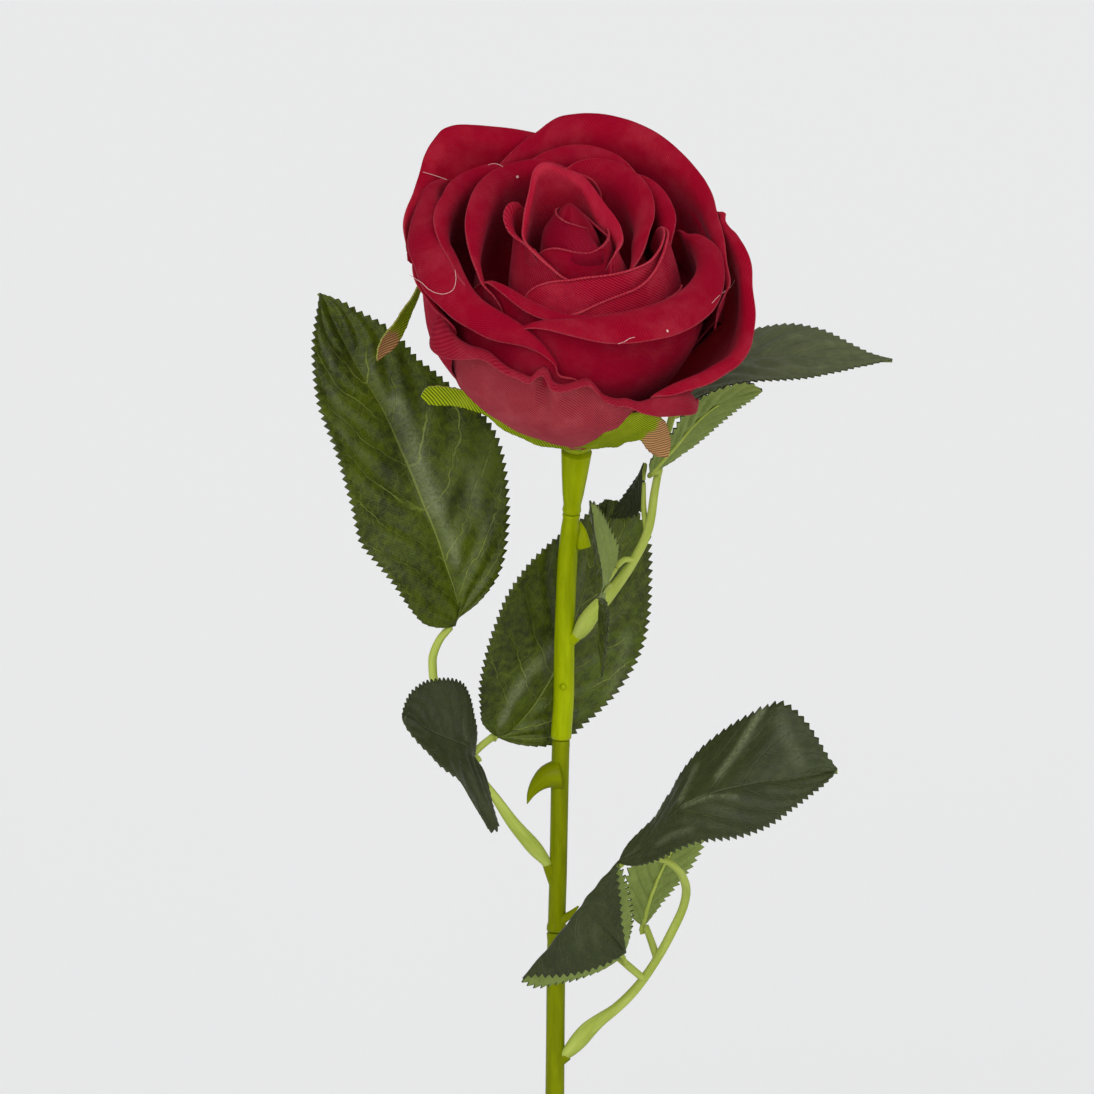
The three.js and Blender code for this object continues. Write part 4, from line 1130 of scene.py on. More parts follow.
@dataclass
class Petal:
    """A petal in the bloom's own frame: it rises to its belly, flares to its crest and rolls over.

    Rim points are x, y and height of the crest, how far the wall flares to reach it, and how far the lip
    rolls out and down beyond it. A pleat is its share along the rim, its depth and its spread.
    """

    step = 0.9
    rows = 33

    name: str
    belly: Point
    rim: tuple[Point, ...]
    ripple: float = 0.35
    tuck: float = 7.0
    weave: Weave = Weave.SOFT
    pleats: tuple[Point, ...] = ()

    def tucked(self) -> tuple[Point, ...]:
        """The rim with both its ends led down and inwards, round the bloom's axis."""
        ends = []
        for edge, inward in ((self.rim[0], self.rim[1]), (self.rim[-1], self.rim[-2])):
            radius = math.hypot(edge[0], edge[1])
            before, last = math.atan2(inward[1], inward[0]), math.atan2(edge[1], edge[0])
            way = math.copysign(1.0, math.remainder(last - before, 2 * math.pi))
            led = []
            for share in (0.5, 0.8, 1.0):
                angle = last + way * share * min(self.tuck / radius, 0.9)
                reach = radius - 1.6 * share ** 2
                drop = self.tuck * (1 - math.sqrt(1 - share ** 2)) * 1.3
                led.append((reach * math.cos(angle), reach * math.sin(angle), edge[2] - drop))
            ends.append(led)
        return tuple(ends[0][::-1]) + self.rim + tuple(ends[1])

    def profile(self, rise: np.ndarray, rim_radius: np.ndarray,
                rim_height: np.ndarray) -> tuple[np.ndarray, np.ndarray]:
        """Radius and height up the petal, for each rim point.

        Args:
            rise: shares of the way up, one row each.
            rim_radius: the rim's radius, one column each.
            rim_height: the rim's height, one column each.

        Returns:
            Radii and heights as [row, column].
        """
        root = np.array([Bloom.root_radius, Bloom.root_height])
        belly = np.array(self.belly, float)
        shoulder = np.array([0.52 * belly[0], root[1] + 0.34 * (belly[1] - root[1])])
        count = len(rim_radius)
        knots = [np.repeat(root[None], count, 0), np.repeat(shoulder[None], count, 0),
                 np.repeat(belly[None], count, 0), np.stack([rim_radius, rim_height], 1)]
        knots = [knots[0]] + knots + [knots[-1]]
        rows = []
        for share in rise:
            span = min(int(share * 3), 2)
            w = share * 3 - span
            p0, p1, p2, p3 = knots[span:span + 4]
            before, here, after = (np.maximum(np.linalg.norm(b - a, axis=1, keepdims=True), 1e-3)
                                   for a, b in ((p0, p1), (p1, p2), (p2, p3)))
            v0 = (p2 - p0) * here / (before + here)
            v1 = (p3 - p1) * here / (here + after)
            cubic, square = 2 * p1 - 2 * p2 + v0 + v1, -3 * p1 + 3 * p2 - 2 * v0 - v1
            rows.append(cubic * w ** 3 + square * w ** 2 + v0 * w + p1)
        table = np.array(rows)
        return table[..., 0], table[..., 1]

    def grid(self, seed: int) -> Sheet:
        """The petal's points and its two maps, in the bloom's frame."""
        line = SmoothLine(self.tucked(), 3)
        columns = max(24, round(line.length / self.step))
        share = np.linspace(0, 1, columns + 1)
        points, lips = line.at(share)
        flare, out, down = (softened(lips, 5) + (0.12, 0.05, 0.04)).T
        azimuth = np.unwrap(np.arctan2(points[:, 1], points[:, 0]))
        middle = (azimuth[0] + azimuth[-1]) / 2
        rim_radius, rim_height = np.hypot(points[:, 0], points[:, 1]), points[:, 2]
        rise = np.linspace(0, 1, self.rows)
        radius, height = self.profile(rise, rim_radius - flare, rim_height - flare)
        root = middle + (azimuth - middle) * Bloom.root_spread
        turn = root[None] + (azimuth - root)[None] * np.sqrt(rise)[:, None]
        bend = np.radians(np.linspace(0, 90, 9))[1:, None]
        radius = np.vstack([radius, rim_radius - flare * np.cos(bend), rim_radius + out * np.sin(bend)])
        height = np.vstack([height, rim_height - flare * (1 - np.sin(bend)),
                            rim_height - down * (1 - np.cos(bend))])
        turn = np.vstack([turn, np.repeat(azimuth[None], 2 * len(bend), 0)])
        radius[24:], height[24:] = softened(radius[24:], 6), softened(height[24:], 6)
        girth = (share - 0.5)[None] * line.length * np.maximum(radius, 6) / np.maximum(rim_radius, 6)[None]
        steps = np.hypot(np.diff(radius, axis=0), np.diff(height, axis=0))
        climb = np.vstack([np.zeros((1, columns + 1)), np.cumsum(steps, axis=0)])
        grown = np.linspace(0, 1, len(radius))[:, None]
        radius = radius + self.ripple * grown ** 1.5 * Ripples(seed, 17.0).at(girth, climb)
        height = height + 0.25 * self.ripple * grown ** 6 * Ripples(seed + 100, 7.0).at(girth, 0 * climb)
        for place, depth, spread in self.pleats:
            fold = depth * np.exp(-((share - place) / spread) ** 2)
            radius = radius + fold[None] * np.clip((grown - 0.3) / 0.4, 0, 1) ** 1.5
        grid = np.stack([radius * np.cos(turn), radius * np.sin(turn), height], -1)
        form = sheet_map(share[None], 1 - np.clip(climb[-1:] - climb, 0, 50) / 50)
        return grid, sheet_map(girth, climb), form


class Turn(Enum):
    """Whether a sheet's rows already run so that its front looks outwards."""

    OUTWARDS = 1
    INWARDS = -1


@dataclass
class Bloom:
    """The flower head: its core and its petals, nodding towards the viewer."""

    petals: tuple[Petal, ...]
    place: Point = (7.2, -4.0, 321.2)
    nod: float = 27.5
    cloth: float = 0.3
    lean: tuple[float, float] = (-0.027, 0.005)

    root_radius = 3.2
    root_height = 4.2
    root_spread = 0.5
    core_rows = 60
    core = ((0, 2.2), (3.8, 2.2), (5.6, 4), (7, 9), (5.6, 18), (5.4, 30), (6.6, 42), (7.1, 54), (7.2, 60),
            (6.3, 63.6), (5.1, 66.2), (3.9, 68.5), (2.7, 70.4), (1.6, 71.9), (0.6, 72.8), (0, 72.9))

    def matrix(self) -> Matrix:
        """From the bloom's frame to the row's, in metres."""
        return Matrix.Translation(Vector(self.place) * MM) @ Matrix.Rotation(math.radians(self.nod), 4, "X")

    def placed(self, grid: np.ndarray) -> np.ndarray:
        """Points of the bloom's frame in the row's frame, in millimetres."""
        turn = np.array(Matrix.Rotation(math.radians(self.nod), 3, "X"))
        return grid @ turn.T + np.array(self.place)

    def build(self) -> None:
        """Makes the core and each petal."""
        edge = FrayedEdgeFinish("frayed petal edge", (0.2, 0.004, 0.018), (0.34, 0.045, 0.06)).material()
        cloths = {weave: self.cloths(weave) for weave in Weave}
        bench = MeshBench("bloom_core")
        line, _ = SmoothLine(tuple((r, 0.0, h) for r, h in self.core)).at(
            np.linspace(0, 1, self.core_rows + 1))
        lean = Matrix(((1, 0, self.lean[0], 0), (0, 1, self.lean[1], 0), (0, 0, 1, 0), (0, 0, 0, 1)))
        bench.turned([(float(x), float(z)) for x, _, z in line], 48, self.matrix() @ lean,
                     [0] * self.core_rows)
        rolled = TwillFinish("red twill, rolled bud", (0.16, 0.001, 0.009), (0.22, 0.0025, 0.015),
                             (0.25, 0.01, 0.026), pitch=0.5)
        bench.object([rolled.material()], ("bloom",))
        for index, petal in enumerate(self.petals):
            grid, cloth, form = petal.grid(7 * index + 3)
            if facing(grid) is Turn.INWARDS:
                grid, cloth, form = grid[:, ::-1], cloth[:, ::-1], form[:, ::-1]
            bench = MeshBench("petal_" + petal.name)
            bench.lay(self.placed(grid), cloth, form)
            bench.object([*cloths[petal.weave], edge], ("bloom",), self.cloth)

    def cloths(self, weave: Weave) -> tuple[Material, Material]:
        """The outer and the inner side of a petal's cloth."""
        tones = {
            Weave.DEEP: ((0.15, 0.001, 0.009), (0.19, 0.002, 0.014), (0.22, 0.008, 0.024), 0.5),
            Weave.SOFT: ((0.215, 0.0008, 0.012), (0.27, 0.003, 0.019), (0.31, 0.02, 0.036), 0.5),
            Weave.BOLD: ((0.21, 0.0006, 0.011), (0.4, 0.013, 0.038), (0.44, 0.03, 0.054), 0.58),
            # Paler, pinker cloth of the outer petal: dust, with a sheen painted on where its nap catches the
            # light.
            Weave.DUSTY_WITH_PAINTED_SHEEN: ((0.18, 0.011, 0.021), (0.35, 0.042, 0.053), (0.38, 0.062, 0.072), 0.6)}
        rolled = ((0.19, 0.005, 0.017), (0.26, 0.012, 0.028), (0.3, 0.035, 0.048), 0.55)
        sides = []
        for side, share, tone in (("outer side", 1.0, tones[weave]),
                                  ("inner side", 0.95, rolled if weave is Weave.DUSTY_WITH_PAINTED_SHEEN else tones[weave])):
            ground, raised, pale_patches, pitch = tone
            colours = [tuple(round(value * share, 4) for value in colour)
                       for colour in (ground, raised, pale_patches)]
            finish = TwillFinish(f"red twill, {weave.value}, {side}", *colours, pitch=pitch,
                                 edge=(0.4, 0.075, 0.09))
            sides.append(finish.material())
        return sides[0], sides[1]


def crest(*points: Point, flare: float = 1.0, roll: float = 1.0) -> tuple[Point, ...]:
    """A petal's rim read in the photo, in the bloom's own frame.

    Args:
        points: px and py in the photo, y in the bloom's frame, then flare, roll out and roll down, where
            these three differ from the point before.
        flare: the share of the flare that is used.
        roll: the share of the roll that is used.

    Returns:
        The rim in millimetres, to a tenth.
    """
    bloom, rim, lip = Bloom(()), [], []
    foreshortened = math.cos(math.radians(bloom.nod + SIGHT.elevation))
    for px, py, depth, *changed in points:
        lip = changed or lip
        x, height = 0.0, 0.0
        for _ in range(20):
            spot = SIGHT.spot(*bloom.placed(np.array([x, depth, height])))
            x += (px - spot[0]) * SIGHT.pixel
            height += (spot[1] - py) * SIGHT.pixel / foreshortened
        used = [value * share for value, share in zip(lip, (flare, roll, roll))]
        rim.append(tuple(round(float(value), 1) for value in (x, depth, height, *used)))
    return tuple(rim)


def facing(grid: np.ndarray) -> Turn:
    """Whether a sheet round the bloom's axis has its front outwards."""
    turn = np.unwrap(np.arctan2(grid[-1, :, 1], grid[-1, :, 0]))
    return Turn.OUTWARDS if turn[-1] > turn[0] else Turn.INWARDS


@dataclass
class Sepal:
    """A cloth sepal between two margins that run from the cup to its tip.

    What the bloom hides is `hidden`: x, y and height of its middle in the bloom's frame, and half its
    width, spread round the bloom's axis or along `spread`.
    """

    rows = 91

    name: str
    seed: int
    one_margin: tuple[Point, ...] = ()
    other_margin: tuple[Point, ...] = ()
    hidden: tuple[Point, ...] = ()
    spread: Point | None = None
    brown_from: float = 0.0
    cloth: float = 0.4

    def margin(self, bloom: Bloom, side: int) -> tuple[Point, ...]:
        """The margin on side 1 or -1, with what the bloom hides of it first."""
        led = []
        for x, y, height, half in self.hidden:
            if self.spread:
                place = bloom.placed(np.array([x, y, height])) + side * half * np.array(self.spread)
            else:
                aside = side * half / math.hypot(x, y)
                place = bloom.placed(np.array([x - y * aside, y + x * aside, height]))
            led.append(tuple(round(float(value), 1) for value in place))
        return (*led, *(self.one_margin if side > 0 else self.other_margin))

    def grid(self, bloom: Bloom) -> Sheet:
        """The sepal's points and its two maps."""
        along = np.linspace(0, 1, self.rows)
        first, second = (SmoothLine(self.margin(bloom, side)).at(along)[0] for side in (1, -1))
        middle, reach = (first + second) / 2, (second - first) / 2
        width = np.linalg.norm(reach, axis=1)[:, None]
        normal = softened(unit(np.cross(reach, np.gradient(middle, axis=0))), 8)
        across = np.linspace(-1, 1, 17)
        jag = 0.3 * ((np.arange(self.rows) % 3) / 3.0 - 0.3)[:, None] * np.abs(across) ** 8
        aside = across[None] * width
        climb = run(middle)[:, None]
        cup = 0.3 * Ripples(self.seed, 9.0).at(aside, climb) - 0.12 * aside ** 2 / np.maximum(width, 1)
        outwards = unit(reach)[:, None] * (aside + np.sign(across) * jag)[..., None]
        grid = middle[:, None] + outwards + normal[:, None] * cup[..., None]
        return grid, sheet_map(aside, climb), sheet_map((across[None] + 1) / 2, along[:, None])

    def build(self, bloom: Bloom, cloth_finish: Material, edge: Material) -> None:
        """Cuts the sepal.

        Args:
            bloom: the flower head that it hangs from.
            cloth_finish: its cloth, the same on both sides.
            edge: its cut edge.
        """
        bench = MeshBench(self.name)
        bench.lay(*self.grid(bloom))
        bench.object([cloth_finish, cloth_finish, edge], ("calyx",), self.cloth)


@dataclass
class Calyx:
    """The moulded cup, turned in the bloom's frame, and its cloth sepals."""

    sepals: tuple[Sepal, ...]
    dish: tuple[Point, ...] = ((0, 0.3), (3.2, 0.3), (4, 1.2), (4.6, 2.4), (4.5, 3.1), (4.2, 3.4),
                               (3.4, 2.6), (2.6, 1.8), (0, 1.8))

    def build(self, bloom: Bloom) -> None:
        """Moulds the cup and hangs the sepals round it."""
        plastic = PlasticFinish("sepal cup plastic", (0.22, 0.28, 0.004), (0.3, 0.36, 0.01)).material()
        bench = MeshBench("calyx_cup")
        bench.turned(list(self.dish), 48, bloom.matrix(), [0] * 8)
        bench.object([plastic], ("calyx",))
        green = TwillFinish("sepal cloth", (0.05, 0.075, 0.001), (0.32, 0.4, 0.012), (0.3, 0.35, 0.02),
                            pitch=0.7, depth=0.2, sheen=0.0, glow=0.0)
        edge = FrayedEdgeFinish("frayed sepal edge", (0.16, 0.17, 0.02), (0.35, 0.35, 0.08)).material()
        for sepal in self.sepals:
            finish = green
            if sepal.brown_from:
                finish = replace(green, name=green.name + ", browned tip of " + sepal.name,
                                 tip=(0.52, 0.27, 0.11), tip_from=sepal.brown_from)
            sepal.build(bloom, finish.material(), edge)


class LooseThreads:
    """Cut threads and lint that lie on the petals."""

    def build(self, threads: tuple[tuple[float, tuple[Point, ...]], ...]) -> None:
        """Lays the threads, each a radius and a line."""
        pale = FrayedEdgeFinish("loose thread", (0.5, 0.2, 0.2), (0.75, 0.5, 0.48)).material()
        bench = MeshBench("loose_threads")
        for radius, points in threads:
            line = SmoothLine(points)
            centres, _ = line.at(np.linspace(0, 1, max(5, int(line.length / 0.6))))
            bench.rod(centres, np.full(len(centres), radius), 8)
        bench.object([pale], ("bloom",))


# ---- The lines read in the photo ----

SPRAYS = (
    Spray("spray_left_stalk", (
        seen((549, 866, 7.1, 1.1), (544, 859, 6.9, 1.3), (538, 852, 6.6, 1.9), (530, 843, 6, 1.95),
             (513, 823, 4.5, 1.55), (497, 800, 3.9, 1.15), (477, 772, 4.2, 1), (470, 745, 5, 1),
             (461, 716, 6, 1), (441, 696, 7, 1.05), (434, 680, 8, 1.05), (432.5, 668, 8.3, 1.05),
             (432.5, 658, 8.6, 1.05), (435.5, 648, 8.8, 1), (440, 639, 9, 0.95), (446, 632, 9.2, 0.9),
             (451, 627, 9.3, 0.8)),
        ((-18.2, 4.9, 243.4, 0.95), (-15.9, 7.6, 245.2, 0.95), (-13.1, 10.5, 246.8, 0.9)),
        ((-17.8, 4.6, 242.8, 0.9), (-17.2, 2.6, 243, 0.8), (-16.9, 0.2, 243.6, 0.7)))),
    Spray("spray_right_stalk", (
        ((6.6, 6.4, 272.3, 1.2), (7.7, 6.05, 273.5, 1.8), (9, 5.5, 275.6, 2.3), (10.9, 5, 278.6, 2),
         (15.7, 4, 284.4, 1.45), (20.9, 3, 292.2, 1.15), (24.3, 3, 299.5, 1.1), (25.9, 4, 309.1, 1),
         (27.2, 6.4, 315.4, 0.9), (28.6, 10, 320.5, 0.9), (30, 13.2, 325, 0.9)),
        ((20.7, 3, 292, 0.9), (18.6, 0.9, 292.7, 0.8), (16.4, -2, 291.3, 0.7)),
        ((24.1, 3.2, 299, 0.8), (23.3, 4.4, 304, 0.65), (23.3, 6.4, 310.5, 0.45)),
        ((26.6, 5.2, 312.4, 0.9), (26.9, 3.6, 313.6, 0.8), (27.1, 2.2, 314.3, 0.7)))),
    Spray("spray_low_stalk", (
        seen((563, 1056, 5.4, 1.2), (570, 1050, 5.1, 1.7), (579, 1040, 4.7, 2.2), (589, 1029, 3.8, 2.1),
             (601, 1019, 2.6, 1.6), (615, 1009, 1.2, 1.25), (630, 995, 0, 1.2), (642, 981, -1, 1.15),
             (652.5, 966, -1.8, 1.1), (663, 949, -2.6, 1.1), (673, 930, -3.6, 1.1), (682, 910, -5.6, 1.1),
             (686, 894, -9.4, 1.1), (684.5, 881, -14.5, 1.05), (677, 869, -18.8, 0.95),
             (665, 860.5, -21.2, 0.85), (650, 858, -22.2, 0.8), (621, 863, -22.6, 0.7)),
        seen((657, 958, -2.2, 0.95), (651, 941, 0.2, 0.9), (645.5, 926, 2.6, 0.8)),
        seen((644, 979, -1.2, 1), (631, 968, -3.8, 1), (619, 958, -6.2, 0.9)))),
)

LEAVES = (
    Leaf("leaf_left_end", (0.41, -0.9, 0.16), (-24.9, 9.3, 272.9),
        ((454, 626), (447, 628), (435, 627.5), (424, 624), (413, 613), (404, 600), (395, 586), (384, 572),
         (371, 557), (361, 544), (356, 528), (351, 508), (345, 488), (339, 467), (333, 446), (326, 427),
         (319, 407), (315, 386), (312.5, 364), (312, 345), (314, 326), (317, 308), (320, 293)),
        ((455, 626), (459, 610), (455, 590), (447, 567), (438, 538), (424, 505), (410, 470), (396, 438),
         (383, 410), (369, 386), (355, 362), (338, 330), (320, 293)),
        ((455, 626), (457, 619), (465, 613), (476, 604), (484, 596), (494, 583), (501, 569), (505.5, 553),
         (508, 536), (509.5, 518), (509.5, 500), (508, 480), (505, 460), (500, 441), (492, 425),
         (480, 410), (465, 397), (449, 384), (434, 371), (419, 359), (407, 344), (395, 331), (380, 321),
         (362, 311), (344, 301), (320, 293)),
        form=LeafForm(((-24.1, 9.4, 273.6), (-29.5, 7, 312), (-54.8, 16, 354.6)), (25.5, 22),
                      24, 0.06, 1, blunt=(0.98, 0.98)),
        seed=11,
        painted_sheen=((0.25, 0.64, 0.12, 0.47, 2.2, 0.7), (0.12, 0.46, 0.12, 0.33, 2.2, 0.9),
                (0.12, 0.33, 0.19, 0.19, 1.9, 0.7), (0.19, 0.75, 0.12, 0.63, 1.4, 0.35),
                (0.62, 0.42, 0.62, 0.27, 1.9, 0.35), (-0.5, 0.84, -0.75, 0.63, 1.9, 0.2))),
    Leaf("leaf_left_front", (0.87, -0.13, 0.48), (-16.4, 0.2, 243.2),
        ((475, 757), (478.5, 746), (480.5, 736), (480, 725), (476, 714), (472, 703), (467.5, 692),
         (462.5, 684), (456, 680.5), (448, 679), (440, 679), (432, 680), (425, 682), (417.5, 686),
         (411.5, 691.5), (408, 699), (406, 708), (405, 718)),
        ((475, 757), (466, 748), (450, 741), (430, 733), (416, 725), (405, 718)),
        ((475, 757), (481, 768), (484.5, 780), (488.5, 793), (492.5, 806), (496.5, 818), (498.5, 827),
         (495, 832), (490.5, 832), (486, 824), (480, 814), (472, 801), (465, 790), (457, 780), (448, 774),
         (439, 766), (431.5, 755), (423.5, 745), (415, 733.5), (405, 718)),
        form=LeafForm(((-16.65, -0.3, 243.9), (-24, -18, 258), (-34.6, -38, 265)), (15, 22), 4, 0.04, -1),
        seed=12, quilt=0.3, tone=Tone.PAINTED_SHADE,
        painted_sheen=((-0.5, 0.3, -0.2, 0.2, 1.2, 0.3), (0.38, 0.35, 0.81, 0.35, 1, 0.2))),
    Leaf("leaf_left_back", (0.46, -0.87, -0.19), (-12.9, 10.5, 246.1),
        ((497, 738), (490, 732), (482, 723), (480, 711), (479, 700), (479, 689), (481, 676), (484, 662),
         (487.5, 648), (491.5, 634), (497, 619), (503, 604), (511, 589), (520, 575), (530, 562),
         (541, 550), (552, 540), (564, 531), (575, 523), (584, 516), (591, 509), (599, 504), (607, 500)),
        ((497, 738), (513, 730), (530, 712), (545, 690), (558, 665), (572, 630), (585, 590), (596, 550),
         (604, 520), (607, 500)),
        ((497, 738), (506, 742), (517, 745), (530, 746.5), (543, 746), (555, 743.5), (566, 738),
         (577, 731), (587, 723), (598, 714), (608, 705), (617, 695), (625, 683), (632, 671), (638, 657),
         (643, 642), (646.5, 626), (649, 610), (650, 594), (651, 578), (651.5, 562), (651, 546),
         (649, 530), (642, 516), (630, 506), (618, 501), (607, 500)),
        form=LeafForm(((-12, 11.2, 246.7), (2, 13, 270), (13.4, 21, 302)), (26, 23), 28, 0.05, 1),
        seed=13,
        painted_sheen=((-0.5, 0.1, -0.38, 0.28, 1.7, 0.9), (-0.38, 0.28, -0.12, 0.45, 1.7, 0.7),
                (-0.19, 0.75, 0, 0.54, 1.9, 0.35), (0.88, 0.38, 0.75, 0.53, 1.7, 0.35))),
    Leaf("leaf_right_near", (-0.97, 0.25, 0.1), (16.4, -2, 291.3),
        ((606, 583), (607, 573), (611, 563), (618.5, 557), (622.5, 549), (620.5, 540), (614.5, 527),
         (605.5, 512.5), (596.5, 503.5), (591, 501), (593, 514), (593, 530), (594, 550), (595.5, 572),
         (597, 598)),
        ((606, 583), (602, 588), (597, 598)),
        ((606, 583), (600, 592), (599, 606), (602, 622), (603, 640), (602.5, 657), (600.5, 676),
         (605, 660), (607.5, 642), (607.5, 626), (605, 610), (601, 602), (597, 598)),
        form=LeafForm(((15.7, -2.7, 290.8), (13.6, -20, 291.5), (11.2, -40, 291)), (19, 19), 8, 0.02, 1),
        seed=14),
    Leaf("leaf_right_small", (-0.3, -0.8, 0.5), (23.3, 5.8, 311.3),
        ((646, 464), (638, 474), (630, 486), (622, 497), (615.5, 507), (612, 518)),
        ((646, 464), (637, 484), (627, 502), (612, 518)),
        ((646, 464), (643.5, 480), (642.5, 495), (641.5, 507), (638, 515), (627, 518.5), (612, 518)),
        form=LeafForm(((23.2, 8.8, 313), (20, 14.6, 307), (13.4, 18.4, 299.4)), (2.6, 8), 6, 0.05, -1),
        seed=15, wave=0.3, tone=Tone.PAINTED_SHADE, rib=0.4),
    Leaf("leaf_right_under", (-0.2, 0.55, 0.81), (27.1, 2.2, 314.3),
        ((650, 476), (649, 464), (655, 450), (662, 440), (672, 430), (683, 414), (696, 401), (709, 393.5),
         (722, 388), (735, 384.5), (747, 383), (755, 385.5), (762, 391)),
        ((650, 476), (663, 461), (677, 446), (693, 427), (712, 410), (735, 398), (762, 391)),
        ((650, 476), (660, 468), (671, 461), (682, 453), (691, 447), (699, 441), (707, 434.5), (715, 428),
         (724, 421), (733, 414.5), (742, 408), (751, 401.5), (757, 396.5), (762, 391)),
        form=LeafForm(((27.6, 1.2, 314.9), (37, -6, 328), (50.7, -16, 337.7)), (11, 11), 8, 0.04, -1),
        seed=16, wave=0.5),
    Leaf("leaf_right_end", (0, -0.16, 0.99), (30, 13.2, 325),
        ((674, 413), (684, 394), (698, 371), (716, 351), (737, 338), (757, 330), (771, 327), (784, 325.5),
         (797, 325.5), (809, 327), (821, 330), (832, 334), (843, 339), (853, 344), (863, 349), (873, 353),
         (892, 359)),
        ((674, 413), (692, 394), (711, 377), (733, 362), (757, 356), (780, 353), (805, 354.5), (835, 358),
         (865, 359), (892, 359)),
        ((674, 413), (684, 405), (697, 398), (712, 393), (730, 388), (745, 384.5), (758, 382.5),
         (772, 381.5), (787, 380), (802, 378.5), (817, 377), (831, 374.5), (845, 372), (857, 369),
         (869, 366), (881, 362), (892, 359)),
        form=LeafForm(((30.5, 13.9, 325.9), (52, 21, 346), (82.6, 14, 339.3)), (17, 17), 8, 0.03, 1),
        seed=17, wave=0.6, tone=Tone.PAINTED_LIGHT,
        painted_sheen=((-0.38, 0.27, -0.44, 0.42, 1.2, 0.4), (0.56, 0.48, 0.62, 0.69, 1, 0.4),
                (-0.56, 0.58, -0.56, 0.73, 1, 0.3))),
    Leaf("leaf_low_end", (-0.3, -0.35, 0.9), (17.8, -22.6, 223.6),
        ((618, 862), (622, 851), (629, 841), (638, 831), (646.5, 823), (654, 815.5), (661.5, 804.5),
         (670, 792), (678, 778), (688, 764.5), (700, 751), (713, 740), (727, 729.5), (741, 720.5),
         (754, 713), (767, 706.5), (780, 702), (789, 705), (798, 711.5), (806, 720), (813, 730),
         (819.5, 740), (825, 750), (830, 759), (837, 771)),
        ((618, 862), (640, 848), (656, 832), (668, 817), (682, 806), (700, 797), (720, 790), (742, 785),
         (766, 781), (790, 779), (815, 775), (837, 771)),
        ((618, 862), (624, 864.5), (634, 865.5), (646, 864.5), (658, 861), (668, 856), (677, 851),
         (687, 846.5), (698, 842.5), (711, 840.5), (726, 839), (741, 836.5), (755, 832.5), (768, 827),
         (781, 819), (792, 810.5), (802, 803), (812, 795), (822, 787.5), (831, 778), (837, 771)),
        form=LeafForm(((16.9, -23.2, 224.2), (40, -33, 251), (68.9, -22, 245.9)), (12, 21),
                      6, 0.06, 1, face_at_tip=(-0.35, -0.9, 0.4), lean=(0.8, 1.25)),
        seed=18, wave=0.8, quilt=0.25, tone=Tone.PAINTED_SHADE,
        painted_sheen=((-1, 0.66, -0.62, 0.59, 1, 0.9), (-0.62, 0.59, -0.25, 0.51, 1, 0.7),
                (-0.69, 0.41, -0.19, 0.35, 1, 0.6), (0, 0.36, 0.06, 0.48, 0.7, 0.8),
                (0.06, 0.48, 0.19, 0.57, 0.7, 0.5), (-1, 0.25, -0.75, 0.19, 1, 0.4),
                (-0.75, 0.73, -0.31, 0.83, 1.9, 0.25), (0.44, 0.21, 0.62, 0.36, 1.4, 0.35))),
    Leaf("leaf_low_folded", (0, 1, 0), (18.9, -6.2, 194.4),
        seen((623, 957, -6.9), (629, 941, -10), (633, 921, -14), (631, 901, -18), (625, 877, -21),
             (618, 861, -24), (618, 874, -26), (620, 890, -28.5), (621, 905, -31), (622, 920, -33.5),
             (624, 937, -35.5), (626, 953, -37)),
        seen((623, 957, -6.9), (604, 934, -15), (580, 905, -24), (604, 930, -31), (626, 953, -37)),
        seen((623, 957, -6.9), (603, 970, -10), (580, 979, -14), (556, 984, -18), (534, 987, -21),
             (521, 979, -24), (534, 976, -26), (550, 977, -28.5), (570, 975.5, -31), (590, 971, -33.5),
             (610, 963.5, -35.5), (626, 953, -37)),
        seed=19, wave=0.4, quilt=0.3, tone=Tone.PAINTED_SHADE,
        painted_sheen=((-0.06, 0.55, -0.19, 0.34, 0.7, 0.3), (0.5, 0.43, 0.25, 0.21, 1.4, 0.3))),
    Leaf("leaf_low_back", (-0.3, 0.9, 0.2), (23.3, 2.6, 199.6),
        ((643, 926), (634, 920), (629, 905), (626, 888), (628, 870), (636, 852), (650, 835), (670, 820),
         (695, 812)),
        ((643, 926), (650, 900), (660, 875), (674, 848), (695, 812)),
        ((643, 926), (650, 918), (660, 906), (672, 892), (684, 878), (695, 863), (703, 848), (705, 830),
         (695, 812)),
        form=LeafForm(((23.2, 3.1, 200.4), (27, 6, 212), (36, 12, 228)), (11, 10), 10, 0.03, -1),
        seed=20, wave=0.4),
)

